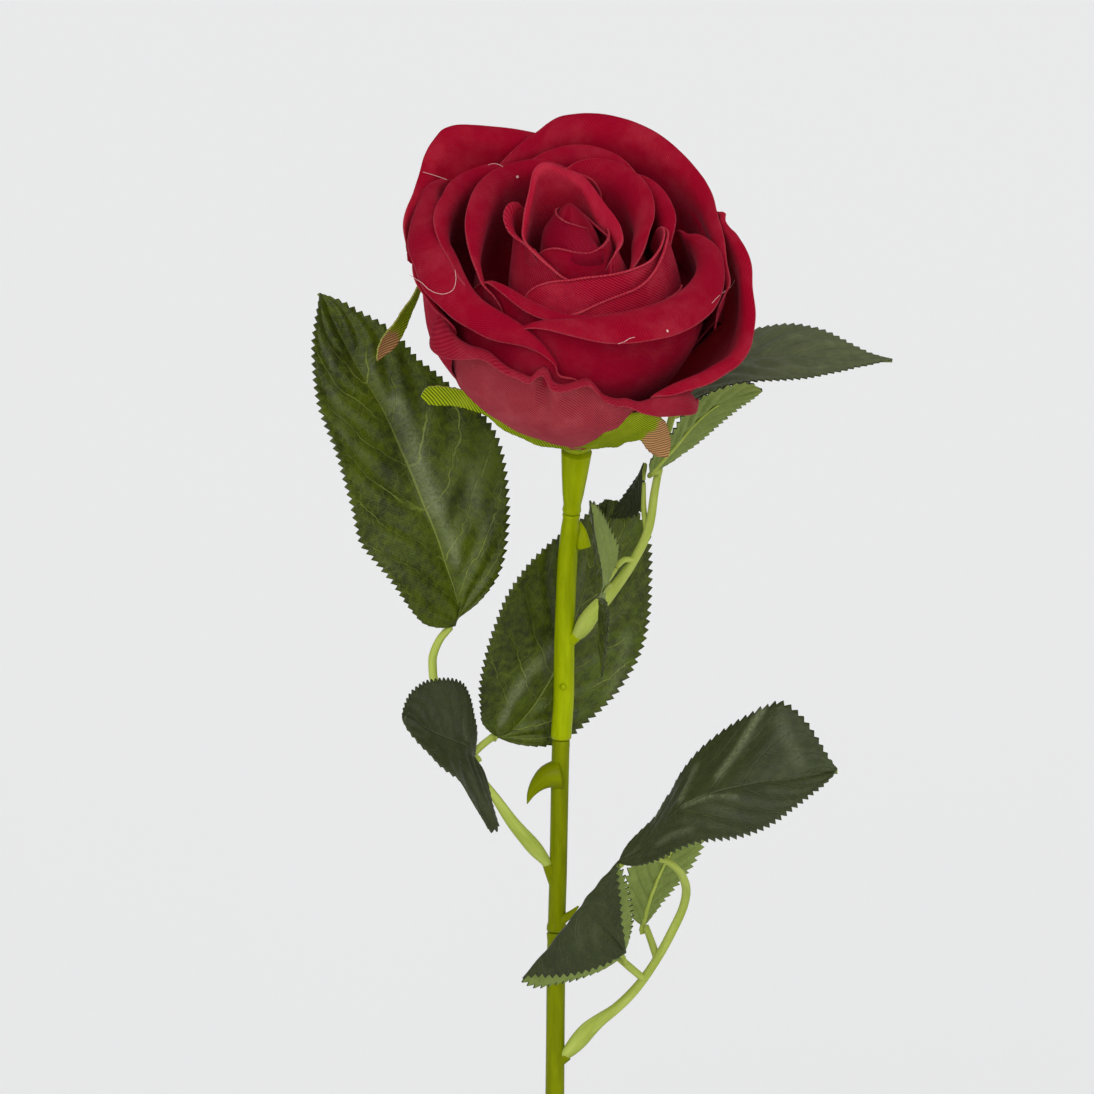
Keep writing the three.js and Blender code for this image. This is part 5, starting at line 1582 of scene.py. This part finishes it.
PETALS = (
    Petal("bud_back", (7.4, 62), crest((562.5, 213, 0.5, 0.2, 0.2, 0.1), (563, 208.5, 1.5, 0.3, 0.2, 0.1),
        (567, 204.8, 2.6, 0.3, 0.3, 0.2), (573, 207, 3.2), (583, 214.5, 3.4, 0.4, 0.3, 0.2),
        (594, 224, 2.4), (604, 232, 0.4, 0.3, 0.2, 0.1), (609, 238, -2, 0.2), flare=0.3,
        roll=0.3), weave=Weave.DEEP),
    Petal("bud_front", (8.4, 62.5), crest((561, 209, 3.2, 0.2, 0.1, 0.1), (557.5, 208, 2, 0.3, 0.3, 0.2),
        (555.5, 210.5, 0.6, 0.3, 0.5, 0.3), (556.5, 215, -1.2), (561, 219, -2.4, 0.3, 0.4, 0.2),
        (567, 222.6, -3.5, 0.3, 0.3, 0.2), (573, 224.4, -3.9, 0.2, 0.2, 0.1), (580, 226.5, -4.2, 0),
        flare=0.3, roll=0.3), weave=Weave.DEEP),
    Petal("bud_wrap", (10.6, 50), crest((538, 254, -5.4), (545, 250, -6.6, 0.4, 0.3, 0.2),
        (553, 248.5, -7.4), (562, 249.5, -7.9), (576, 252.5, -7.9), (590, 252, -7), (600, 247, -5.2),
        (606.5, 240, -2.8), (609, 232.5, 0.2), (605, 224, 4, 0), flare=0.3, roll=0.3)),
    Petal("tall_point", (13, 46), crest((523, 236, -2.5, 0.6, 0.3, 0.2), (525.5, 218, 0, 0.8, 0.4, 0.3),
        (528.5, 199, 3, 1, 0.4, 0.3), (532, 181, 6, 1.2, 0.5, 0.4), (536, 170, 8, 1.3, 0.6, 0.5),
        (543, 163.5, 9.6, 1.5, 0.8, 0.6), (553, 164.5, 10.2, 1.6, 0.8, 0.6),
        (564, 169, 10.4, 1.8, 0.8, 0.6), (575, 173, 10.6, 2.2, 1, 0.8), (583, 178, 10.2, 2.8, 1.2, 1),
        (592, 188, 8.8, 3.2, 1.4, 1.2), (602, 200.5, 6.6, 3.4, 1.4, 1.2), (611, 214, 4.2, 3.2, 1.2, 1),
        (618, 228, 1.4, 2.6, 0.8, 0.7), (622, 241, -1.6, 1.6, 0.5, 0.4), flare=0.9, roll=0.5),
          weave=Weave.BOLD),
    Petal("left_wrap", (16, 43), crest((523, 209, 9.6, 1, 0.3, 0.2), (518, 203, 8.8, 1.8, 0.6, 0.4),
        (511, 204, 7.4, 2.4, 0.8, 0.5), (506.5, 211, 5.4, 2.6, 0.8, 0.6), (506, 220, 3, 2.4, 0.8, 0.6),
        (509.5, 230, 0.4, 2, 0.7, 0.5), (515.5, 237, -2, 1.6, 0.6, 0.4),
        (523, 242.5, -3.8, 1.2, 0.5, 0.3), (532, 250, -6.2, 1, 0.4, 0.3),
        (541, 258.5, -8.4, 0.9, 0.4, 0.3), (551.5, 268, -10.8, 0.8, 0.3, 0.2),
        (561, 276, -12.8, 0.7, 0.3, 0.2), (569, 280, -14.2, 0.6, 0.2, 0.2), flare=0.75,
        roll=0.4), weave=Weave.BOLD),
    Petal("right_wrap", (22, 44), crest((524, 300, -17.4, 0.4), (527, 293.5, -16.9, 0.6, 0.2, 0.2),
        (534, 287.5, -16.4, 0.7, 0.3, 0.2), (544, 283.5, -15.9, 0.8, 0.4, 0.3),
        (556, 281, -15.3, 0.9, 0.4, 0.3), (569, 279.5, -14.8, 1, 0.4, 0.3), (584, 277, -14.3),
        (602, 275.5, -13.4), (621, 272.5, -12), (638, 267.5, -10.2), (650, 261, -8),
        (657.5, 252.5, -5.4, 1, 0.3, 0.2), (662.5, 243, -2.4, 0.8, 0.2, 0.2), (665, 232, 1.4, 0.6),
        flare=0.3, roll=0.3), weave=Weave.BOLD),
    Petal("right_inner", (19, 45), crest((566, 169, 18.6, 1, 0.2, 0.2), (574, 164, 21, 2, 0.4, 0.3),
        (585, 160.5, 23.2, 3.2, 0.6, 0.5), (598, 159.5, 24.4, 4, 0.8, 0.6),
        (611, 161.5, 24.4, 4.6, 0.9, 0.7), (623, 166.5, 22.8, 5.2, 1, 0.8),
        (634, 173.5, 20.4, 5.6, 1, 0.8), (643, 183, 17.2, 6, 1, 0.8), (649.5, 194, 13.8, 6.2, 1, 0.8),
        (652.5, 206, 10.4, 6, 1, 0.8), (652.5, 218, 7, 5.4, 0.9, 0.7), (649.5, 230, 3.8, 4.6, 0.8, 0.6),
        (646, 242, 0.6, 3.6, 0.6, 0.4), (642, 253, -2.4, 2.6, 0.4, 0.3), (637, 262, -4.8, 1.6, 0.2, 0.2),
        flare=0.95, roll=0.4)),
    Petal("right_fold", (24.5, 43), crest((540, 306, -22, 0.5), (552, 312, -22.8, 0.6, 0.3, 0.2),
        (565, 314.5, -23.4, 0.7, 0.4, 0.3), (578, 312.5, -23, 0.8, 0.5, 0.4), (592, 307, -21.8),
        (606, 301, -20.4), (622, 294.5, -18.4), (638, 287, -15.8, 0.8, 0.4, 0.3), (650, 278, -13),
        (658, 267, -9.8, 0.8, 0.3, 0.2), (663, 255, -6), (666, 243, -2.2, 0.8, 0.2, 0.2),
        (668, 232, 2, 0.6), flare=0.35, roll=0.3), weave=Weave.BOLD),
    Petal("left_ring", (24, 44), crest((482, 286, -16, 0.8, 0.2, 0.2), (477, 271, -12.8, 1.4, 0.4, 0.3),
        (471.5, 252, -8.4, 2.4, 0.6, 0.4), (468.5, 235, -4.2, 3.4, 0.8, 0.6),
        (467.5, 219, 0, 4.2, 0.9, 0.7), (468.5, 206, 4, 4.6, 1, 0.8), (472.5, 195, 8, 4.8, 1, 0.8),
        (480, 185, 12.2), (489, 176, 16.2, 4.6, 1, 0.8), (499, 168.5, 20, 4.2, 0.9, 0.7),
        (510, 163.5, 22.6, 3.8, 0.9, 0.7), (522, 160.5, 24.2, 3.4, 0.8, 0.6),
        (536, 159.5, 24.8, 3, 0.7, 0.5), (550, 162.5, 24, 2.4, 0.5, 0.4), (564, 168, 22, 1.6, 0.3, 0.2),
        (577, 173, 19.8, 1), flare=0.95, roll=0.4)),
    Petal("back_ring", (26.5, 44), crest((527, 163, 25.2, 0.8, 0.2, 0.2), (536, 158.5, 26.6, 2, 0.5, 0.4),
        (546, 153, 28.2, 3, 0.7, 0.5), (558, 148.5, 29.6, 3.6, 0.9, 0.7), (571, 145.5, 30.6, 4, 1, 0.8),
        (585, 145, 31, 4.2, 1, 0.8), (598, 147.5, 30.4), (611, 152.5, 28.8, 3.8, 0.9, 0.7),
        (622, 160, 26.4, 3.2, 0.7, 0.5), (630, 168, 24, 2.2, 0.4, 0.3), (638, 177, 21, 1, 0.2, 0.2),
        flare=0.95, roll=0.4)),
    Petal("right_ring", (24.5, 42), crest((622, 173, 24.4, 1, 0.2, 0.2), (633, 174, 23.6, 2, 0.4, 0.3),
        (645, 177.5, 22, 3, 0.7, 0.5), (656, 184, 19.8, 3.8, 0.9, 0.7), (664.5, 193.5, 17, 4.2, 1, 0.8),
        (670.5, 205, 13.8), (673.5, 217.5, 10.4, 4, 0.9, 0.7), (672.5, 230, 7.2, 3.4, 0.8, 0.6),
        (670, 242, 4.2, 2.6, 0.6, 0.4), (668.5, 255, 1, 1.8, 0.4, 0.3), (667, 269, -2.6, 1.2, 0.3, 0.2),
        (664.5, 284, -6.8, 0.9, 0.2, 0.2), (662, 297, -10.6, 0.7), (660, 307, -13.8, 0.5), flare=0.95,
        roll=0.4)),
    Petal("front_ring", (27, 41), crest((468, 295, -12.6, 0.5), (474, 288.5, -13, 0.6, 0.2, 0.2),
        (482, 283, -13.8, 0.7, 0.3, 0.2), (490, 281, -14.8, 0.8, 0.5, 0.3),
        (498, 283.5, -16.6, 0.9, 0.9, 0.5), (508, 289, -18.8, 1, 1.4, 0.8),
        (519, 296, -20.8, 1.1, 1.9, 1.1), (531, 303, -22.8, 1.2, 2.2, 1.3),
        (545, 309.5, -24.4, 1.2, 2.2, 1.4), (560, 314, -25.4, 1.2, 1.8, 1.2),
        (580, 316.5, -25.6, 1.1, 1.2, 0.8), (600, 316.5, -24.8, 1, 0.8, 0.6),
        (625, 313, -22.4, 0.9, 0.5, 0.4), (650, 306, -18.4, 0.8, 0.3, 0.2), (668, 299, -13.4, 0.7),
        (680, 290, -8.2, 0.6))),
    Petal("second_left", (30.5, 44), crest((456, 272, -14, 1, 0.3, 0.2), (448, 257, -9.4, 1.8, 0.5, 0.4),
        (441.5, 243, -4.6, 2.6, 0.7, 0.5), (437, 229, -0.2, 3.2, 0.9, 0.6), (436, 215, 4, 3.6, 1, 0.7),
        (438, 203.5, 8, 3.8, 1, 0.8), (443, 193.5, 12), (451, 184, 16), (461, 176.5, 19.6, 3.6, 1, 0.8),
        (472, 170, 22.8, 3.2, 0.9, 0.7), (484, 165.5, 25, 2.6, 0.7, 0.5),
        (496, 164.5, 26.4, 1.8, 0.5, 0.4), (508, 168, 27, 1, 0.2, 0.2), flare=0.95, roll=0.4)),
    Petal("front_cup", (29.5, 40), crest((521, 327, -26.6, 0.5, 0.2, 0.3), (534, 323, -27.6, 1, 1, 0.8),
        (549, 321.5, -28.2, 1.4, 1.7, 1.1), (565, 321, -28.6, 1.7, 2.8, 1.7),
        (585, 319.5, -28.6, 2, 4.6, 2.4), (605, 317.5, -28, 2.2, 6.4, 2.9),
        (625, 314.5, -26.8, 2.4, 7.4, 3.2), (645, 309.5, -24.8, 2.5, 7.9, 3.2),
        (665, 303, -22, 2.6, 8, 3.2), (684, 294, -18.2, 2.8, 7.2, 3), (699, 283, -13.6, 3.2, 5.4, 2.6),
        (708, 270, -8.8, 3.6, 4, 2.2), (711.5, 258, -4.4, 3.8, 2.9, 1.8),
        (711, 247.5, -0.4, 3.6, 2.1, 1.4), (706, 240, 3.2, 2.8, 1.4, 1), (697, 234.5, 6.6, 1.8, 0.8, 0.5),
        (687, 234, 9.2, 1, 0.3, 0.2))),
    Petal("left_band", (31.5, 42), crest((438, 182, 22.4, 1.2, 1, 0.5), (433.5, 190, 17.6, 1.8, 3, 1.5),
        (432.5, 200, 12.6, 2.4, 4, 2.5), (432.5, 212, 8, 2.8, 5.3, 3), (434.5, 226, 2.6, 3, 6.1, 3.4),
        (439, 240, -3, 3, 6.9, 3.8), (447, 256, -9, 3, 7.4, 4), (456, 274, -14.5, 2.8, 6.8, 4),
        (467, 290, -18.5, 2.6, 6, 4), (480, 302.5, -21.5, 2.4, 5.2, 4.2),
        (495, 312.5, -24, 2.1, 4.4, 4.4), (509, 320, -26, 1.8, 3.4, 4.4),
        (521, 327, -27.6, 1.5, 2.4, 3.6), (534, 337, -29, 1.2, 1.4, 2.4),
        (546, 349, -30.4, 0.9, 0.8, 1.4), (555, 362, -31.4, 0.7, 0.4, 0.6),
        (559, 375, -32, 0.5, 0.2, 0.2))),
    Petal("back_left", (35, 46), crest((406, 212, 11, 1, 0.2, 0.2), (412, 195, 16.6, 2.4, 0.4, 0.4),
        (417.5, 182.5, 21.6, 3.4, 0.9, 0.6), (423, 169, 26, 4, 0.9, 0.7), (427, 157, 29, 4.2, 1, 0.8),
        (431.5, 147, 31.4, 4.2, 1, 0.9), (437.5, 138, 33.2, 4.2, 1.1, 1),
        (443.5, 130.5, 34.2, 4.4, 1.3, 1), (453, 126.5, 34.8, 4.6, 1.2, 0.9),
        (462.5, 125, 35.2, 4.8, 1, 0.8), (480, 126, 35.8, 5, 0.8, 0.6), (500, 128, 36.6, 4.8, 0.7, 0.5),
        (520, 130.5, 37.4, 4.2, 0.6, 0.4), (538, 134, 38, 3, 0.4, 0.3), (554, 139, 38, 1.6), flare=0.95,
        roll=0.5)),
    Petal("back_right", (34, 46), crest((499, 167, 28.4, 1, 0.2, 0.2), (508, 156, 30.2, 1.6, 0.4, 0.3),
        (518, 146.5, 31.8, 2.6, 0.6, 0.4), (528, 139, 33.4, 3.6, 0.7, 0.5),
        (538.5, 132.5, 34.8, 4.4, 0.8, 0.6), (549, 124.5, 36.6, 5, 0.9, 0.7), (561, 118, 38, 5.4, 1, 0.8),
        (575, 115, 39, 5.6, 1.1, 0.9), (590, 114, 39.6, 5.6, 1.2, 1), (606, 115, 39.6),
        (622, 118.5, 39, 5.4, 1.2, 1), (641, 125.5, 37.6, 5.2, 1.2, 1), (659, 136, 35.2, 4.8, 1.2, 1),
        (675, 148.5, 32, 4.4, 1.1, 0.9), (690.5, 163.5, 28, 4, 1.1, 0.8), (702, 179, 23.4, 3.6, 1, 0.7),
        (710, 195, 18.4, 3.2, 0.9, 0.6), (715, 210, 13.4, 2.8, 0.7, 0.5), (719, 227, 8, 2.4, 0.6, 0.4),
        (723.5, 245, 2, 2, 0.5, 0.4), (727, 263, -3, 1.6, 0.4, 0.3), (729.5, 283, -7.4, 1, 0.3, 0.2),
        flare=0.95, roll=0.5)),
    Petal("right_outer", (37, 38), crest((712, 211, 15.2, 0.6), (718, 212.5, 13.6, 0.7, 0.3, 0.2),
        (723, 213, 12.6, 0.7, 0.4, 0.3), (722, 220, 10.8, 1, 0.4, 0.3), (726, 227, 8.8, 1.2, 0.3, 0.2),
        (734.5, 235, 5.4, 1.5, 0.4, 0.3), (742.5, 246, 1.6, 2, 0.5, 0.4), (747.5, 263, -2.6, 2, 0.6, 0.4),
        (750, 283, -6.8), (751, 305, -11, 2, 0.7, 0.5), (749, 327, -15.8, 2, 0.9, 0.7),
        (744, 343.5, -20.2, 2.4, 1.4, 1.1), (734, 356, -23.6, 2.2, 1.7, 1.2),
        (720, 365, -26.6, 2, 2, 1.4), (704, 373.5, -29, 1.8, 2, 1.6), (689, 380, -30.6, 1.6, 1.8, 1.6),
        (675, 385.5, -31.6, 1.4, 1.6, 1.4), (661, 391, -32.4, 1.2, 1.2, 1)), tuck=2.5),
    Petal("left_outer", (34.6, 37), ((-28, 25.5, 58, 1.4, 0.3, 0.2), (-35.4, 15, 59, 1.4, 0.4, 0.3),
        (-38.2, 4, 58.5, 1.4, 0.4, 0.3), (-37.6, -6, 57, 1.2, 0.4, 0.3), (-35.6, -12, 55.5, 1, 0.3, 0.2),
        (-33.6, -16, 54.5, 1, 0.3, 0.2), (-31, -19, 54, 0.8)), tuck=2.5),
    Petal("back_outer", (34, 36), ((34.5, 4, 50, 1, 0.4, 0.3), (31, 17, 55.5, 2, 0.8, 0.6),
        (24, 29, 59, 2.6, 2.4, 2), (12, 37, 60.6, 3, 4, 3), (-3, 39, 60, 3, 4, 3),
        (-18, 35, 59, 2.8, 3.6, 2.4), (-29, 26, 57, 2, 2, 1.4), (-36, 12, 54, 1, 0.4, 0.3))),
    Petal("front_outer", (31.4, 30), crest((441, 314, -17.2, 0.8, 2.6, 5), (446, 327, -20.4, 1, 4.4, 4.6),
        (455, 338, -23, 1.2, 3.8, 3.8), (465, 345, -25, 1.3, 2.8, 2.6), (477, 350, -26.8, 1.4, 2, 1.8),
        (489, 354, -28.4, 1.4, 1.4, 1.2), (501, 361, -30, 1.3, 1.2, 1), (512, 368, -31.2, 1.2, 1, 0.8),
        (523, 374, -32.2), (531, 376, -32.6, 1, 1, 0.8), (538, 371.5, -32.6, 0.8, 1.6, 1.2),
        (546, 373.5, -33.2, 0.8, 1.8, 1.4), (554, 381, -34, 1, 1.5, 1.2), (563, 385, -34.4, 1.2, 1.2, 1),
        (577, 383.5, -34.2, 1.2, 1.1, 0.9), (589, 381.5, -33.8, 1, 1.1, 0.9), (597, 389, -34.2),
        (604, 397.5, -34.8), (614, 400.5, -35, 1, 1.2, 1), (626, 398.5, -34.8, 1, 1.4, 1.3),
        (639, 401.5, -34.6, 1, 1.7, 1.7), (652, 399.5, -33.8, 1, 2.2, 3.4), (664, 394, -32.4, 1, 2.8, 5),
        (675, 389.5, -30.6, 1, 3, 6.2), (685, 390, -28.4, 1, 2.6, 6), (691, 394, -26.6, 0.8, 1.8, 4.6),
        (695, 401, -25.2, 0.5, 0.8, 2)),
          tuck=2.5, weave=Weave.DUSTY_WITH_PAINTED_SHEEN,
          pleats=((0.415, -1.9, 0.022), (0.385, 0.9, 0.02), (0.45, 0.9, 0.028), (0.3, 0.9, 0.05),
                  (0.22, -0.6, 0.03), (0.53, -0.6, 0.03), (0.62, -1, 0.03), (0.7, 0.6, 0.04))),
)

SEPALS = (
    Sepal("sepal_left", seed=71,
          one_margin=seen((575, 446, -9), (571, 445, -18), (566, 441, -35.2), (553, 438.5, -37),
              (540, 434, -38.4), (526, 428, -39.6), (513, 421, -40), (500, 412, -40),
              (490, 404, -39.4), (480, 397, -37.8), (470, 392, -35.5), (458, 388.5, -33.4),
              (446, 386, -32), (434, 385.5, -31), (426, 388, -30.6), (421, 396, -30.4)),
          other_margin=seen((580, 450, -8), (574, 449, -16), (566, 447, -27), (553, 446, -30),
              (540, 443.5, -32), (526, 438.5, -33.4), (513, 432.5, -34.4), (500, 425, -34.8),
              (491, 418, -34.8), (482, 412.5, -34), (470, 408, -32.8), (458, 406, -31.6),
              (446, 405, -30.6), (434, 404.5, -30), (427, 403, -30), (421, 396, -30.4))),
    Sepal("sepal_front", seed=72, brown_from=0.76,
          one_margin=seen((574, 447, -9), (572, 446, -18), (570, 444, -31.4), (584, 438, -39.6),
              (600, 429, -44.4), (607, 421, -48), (624, 417.5, -49.4), (640, 416.5, -52.6),
              (655, 417, -50), (665.5, 423, -46), (669.5, 434, -42), (671, 445, -39),
              (668, 457, -37)),
          other_margin=seen((582, 450, -8), (578, 450, -16), (572, 448, -26), (584, 450, -30),
              (598, 451.5, -33), (611, 450.5, -36), (622, 447, -39.5), (634, 443, -42),
              (641, 442, -43), (645, 447, -42), (650, 452, -40.4), (657, 456.5, -38.6),
              (668, 457, -37))),
    Sepal("sepal_left_back", seed=73, brown_from=0.86,
          hidden=((-5, 3, 3.6, 2.6), (-14, 6.5, 6.4, 3.6), (-24, 10.5, 12, 4), (-32, 13.5, 24, 3.4),
                  (-35.5, 14.5, 36, 2.8)),
          spread=(0, -1, 0),
          one_margin=seen((419, 284, -7), (412, 293, -7), (404, 305, -7), (394.5, 320, -7), (384, 334, -7),
              (377, 347, -7), (377, 361, -6)),
          other_margin=seen((427, 282, -2), (420, 290, -2), (415, 301, -2), (409, 317, -2),
              (403, 332, -2.4), (394, 346, -3.4), (377, 361, -6))),
    Sepal("sepal_back", seed=74,
          hidden=((-1, 5.4, 3.6, 3), (-3, 17, 7.6, 4.6), (-5, 29, 16, 4), (-7, 38.6, 24, 2.6),
                  (-8, 45, 27, 0.4))),
    Sepal("sepal_right_back", seed=75,
          hidden=((5, 2.6, 3.6, 3), (17.5, 8, 7.6, 4.6), (29, 13, 14.6, 4), (36, 16.5, 22, 2.6),
                  (38, 18, 28, 0.4))),
)

THREADS = (
    (0.07, seen((423, 172, -11.6), (431, 174.5, -11.4), (439, 177, -10.8), (447, 180, -11.6))),
    (0.07, seen((455, 270, -46.1), (456, 280, -48), (453, 290, -49.8), (445, 294, -50), (436, 293, -49),
        (428, 289, -47.4), (422, 283, -45.6), (416, 279, -43), (410, 275, -41))),
    (0.06, seen((488, 165, -17.6), (493, 163.5, -17.6), (499, 164.5, -17.6), (503, 167, -17.7))),
    (0.06, seen((735, 280, -24), (731, 286, -30), (725, 291, -38.4), (718, 297, -46.3), (712, 303, -48.9))),
    (0.07, seen((618, 344, -62), (624, 342, -61.8), (630, 338.5, -61.4), (635, 337, -61.1))),
    (0.3, seen((517, 176, -17.5), (517.6, 178, -17.5))),
    (0.24, seen((667, 330, -58.8), (668, 332, -58.8))),
    (0.06, seen((557, 213, -32.9), (560, 218.5, -34.6), (565, 222, -36.2), (571, 223.6, -37))),
)


# ---- Studio ----

@dataclass
class Studio:
    """A plain pale floor, soft light and the camera."""

    sensor: float = 36.0

    def build(self) -> None:
        """Sets the floor, the lights and the camera."""
        self.camera()
        self.floor()
        self.sun("key light", 1.45, 40.0, (-20.0, 27.0))
        self.sun("fill light", 1.25, 54.0, (34.0, 20.0))
        self.sun("top light", 0.12, 60.0, (-30.0, 74.0))
        world = bpy.data.worlds.new("studio")
        world.use_nodes = True
        world.node_tree.nodes["Background"].inputs[0].default_value = (0.93, 0.94, 0.96, 1.0)
        world.node_tree.nodes["Background"].inputs[1].default_value = 0.48
        bpy.context.scene.world = world
        bpy.context.scene.view_settings.view_transform = "Standard"

    def camera(self) -> None:
        """Places the camera in front of the bloom, a little above it."""
        tilt = SIGHT.tilt
        data = bpy.data.cameras.new("camera")
        data.sensor_width = self.sensor
        data.lens = self.sensor * SIGHT.distance / (SIGHT.frame * SIGHT.pixel)
        data.clip_end = 100.0
        made = bpy.data.objects.new("camera", data)
        made.location = (0.0, -SIGHT.distance * MM * math.cos(tilt),
                         (SIGHT.target_height + SIGHT.distance * math.sin(tilt)) * MM)
        made.rotation_euler = (math.pi / 2 - tilt, 0.0, 0.0)
        bpy.context.scene.collection.objects.link(made)
        bpy.context.scene.camera = made

    def floor(self) -> None:
        """Lays the pale floor."""
        sheet = bmesh.new()
        bmesh.ops.create_grid(sheet, x_segments=1, y_segments=1, size=14.0)
        data = bpy.data.meshes.new("floor")
        sheet.to_mesh(data)
        sheet.free()
        material, bench, shader = blank_finish("pale floor")
        grain = bench.cloud(bench.node("ShaderNodeTexCoord").outputs["Object"], 0.6, 2.0)
        paper = bench.blend(grain, (0.975, 0.972, 0.969), (0.985, 0.982, 0.979))
        bench.feed(shader.inputs["Base Color"], paper)
        bench.fix(shader, {"Roughness": 0.95, "Specular IOR Level": 0.0})
        data.materials.append(material)
        made = bpy.data.objects.new("floor", data)
        bpy.context.scene.collection.objects.link(made)

    def sun(self, name: str, strength: float, softness: float, heading: Point) -> None:
        """Hangs a broad even light.

        Args:
            name: the light's name.
            strength: its strength.
            softness: how many degrees of the sky it fills.
            heading: degrees round from the viewer's side, and degrees above the floor.
        """
        data = bpy.data.lights.new(name, "SUN")
        data.energy = strength
        data.angle = math.radians(softness)
        made = bpy.data.objects.new(name, data)
        round_, above = (math.radians(angle) for angle in heading)
        level = math.cos(above)
        towards = Vector((math.sin(round_) * level, -math.cos(round_) * level, math.sin(above)))
        made.rotation_mode = "QUATERNION"
        made.rotation_quaternion = (-towards).to_track_quat("-Z", "Y")
        bpy.context.scene.collection.objects.link(made)


def main() -> None:
    """Builds the whole rose, its vase and the studio."""
    logging.basicConfig(level=logging.INFO, format="%(name)s: %(message)s")
    Studio().build()
    BudVase().build()
    Stem().build()
    stalk = PlasticFinish("pale stalk plastic", (0.28, 0.35, 0.05), (0.4, 0.47, 0.1), roughness=0.4,
                          seam=0.3).material()
    for spray in SPRAYS:
        spray.build(stalk)
    # The dull green copy of the leaf cloth is painted shade with a grey sheen; the fair green copy is painted
    # light.
    uppers = {
        Tone.DEEP: LeafFinish("deep green leaf cloth", (0.058, 0.084, 0.001), (0.014, 0.021, 0.001),
                              (0.25, 0.3, 0.05)),
        Tone.PAINTED_SHADE: LeafFinish("dull green leaf cloth", (0.032, 0.042, 0.011), (0.02, 0.027, 0.008),
                              (0.12, 0.14, 0.05), vein_strength=0.2, net_strength=0.08, roughness=0.5),
        Tone.PAINTED_LIGHT: LeafFinish("fair green leaf cloth", (0.095, 0.11, 0.045), (0.07, 0.085, 0.036),
                              (0.15, 0.17, 0.08), vein_strength=0.2, net_strength=0.06, roughness=0.5)}
    under = LeafFinish("leaf cloth, underside", (0.2, 0.26, 0.06), (0.15, 0.2, 0.045), (0.3, 0.37, 0.12),
                       vein_strength=0.35, net_strength=0.1, roughness=0.6, specular=0.12).material()
    cut = FrayedEdgeFinish("cut leaf edge", (0.03, 0.038, 0.015), (0.07, 0.085, 0.04)).material()
    cloths = {tone: finish.material() for tone, finish in uppers.items()}
    for leaf in LEAVES:
        leaf.build(cloths, [under, cut, stalk])
    bloom = Bloom(PETALS)
    bloom.build()
    Calyx(SEPALS).build(bloom)
    LooseThreads().build(THREADS)


if __name__ == "__main__":
    main()
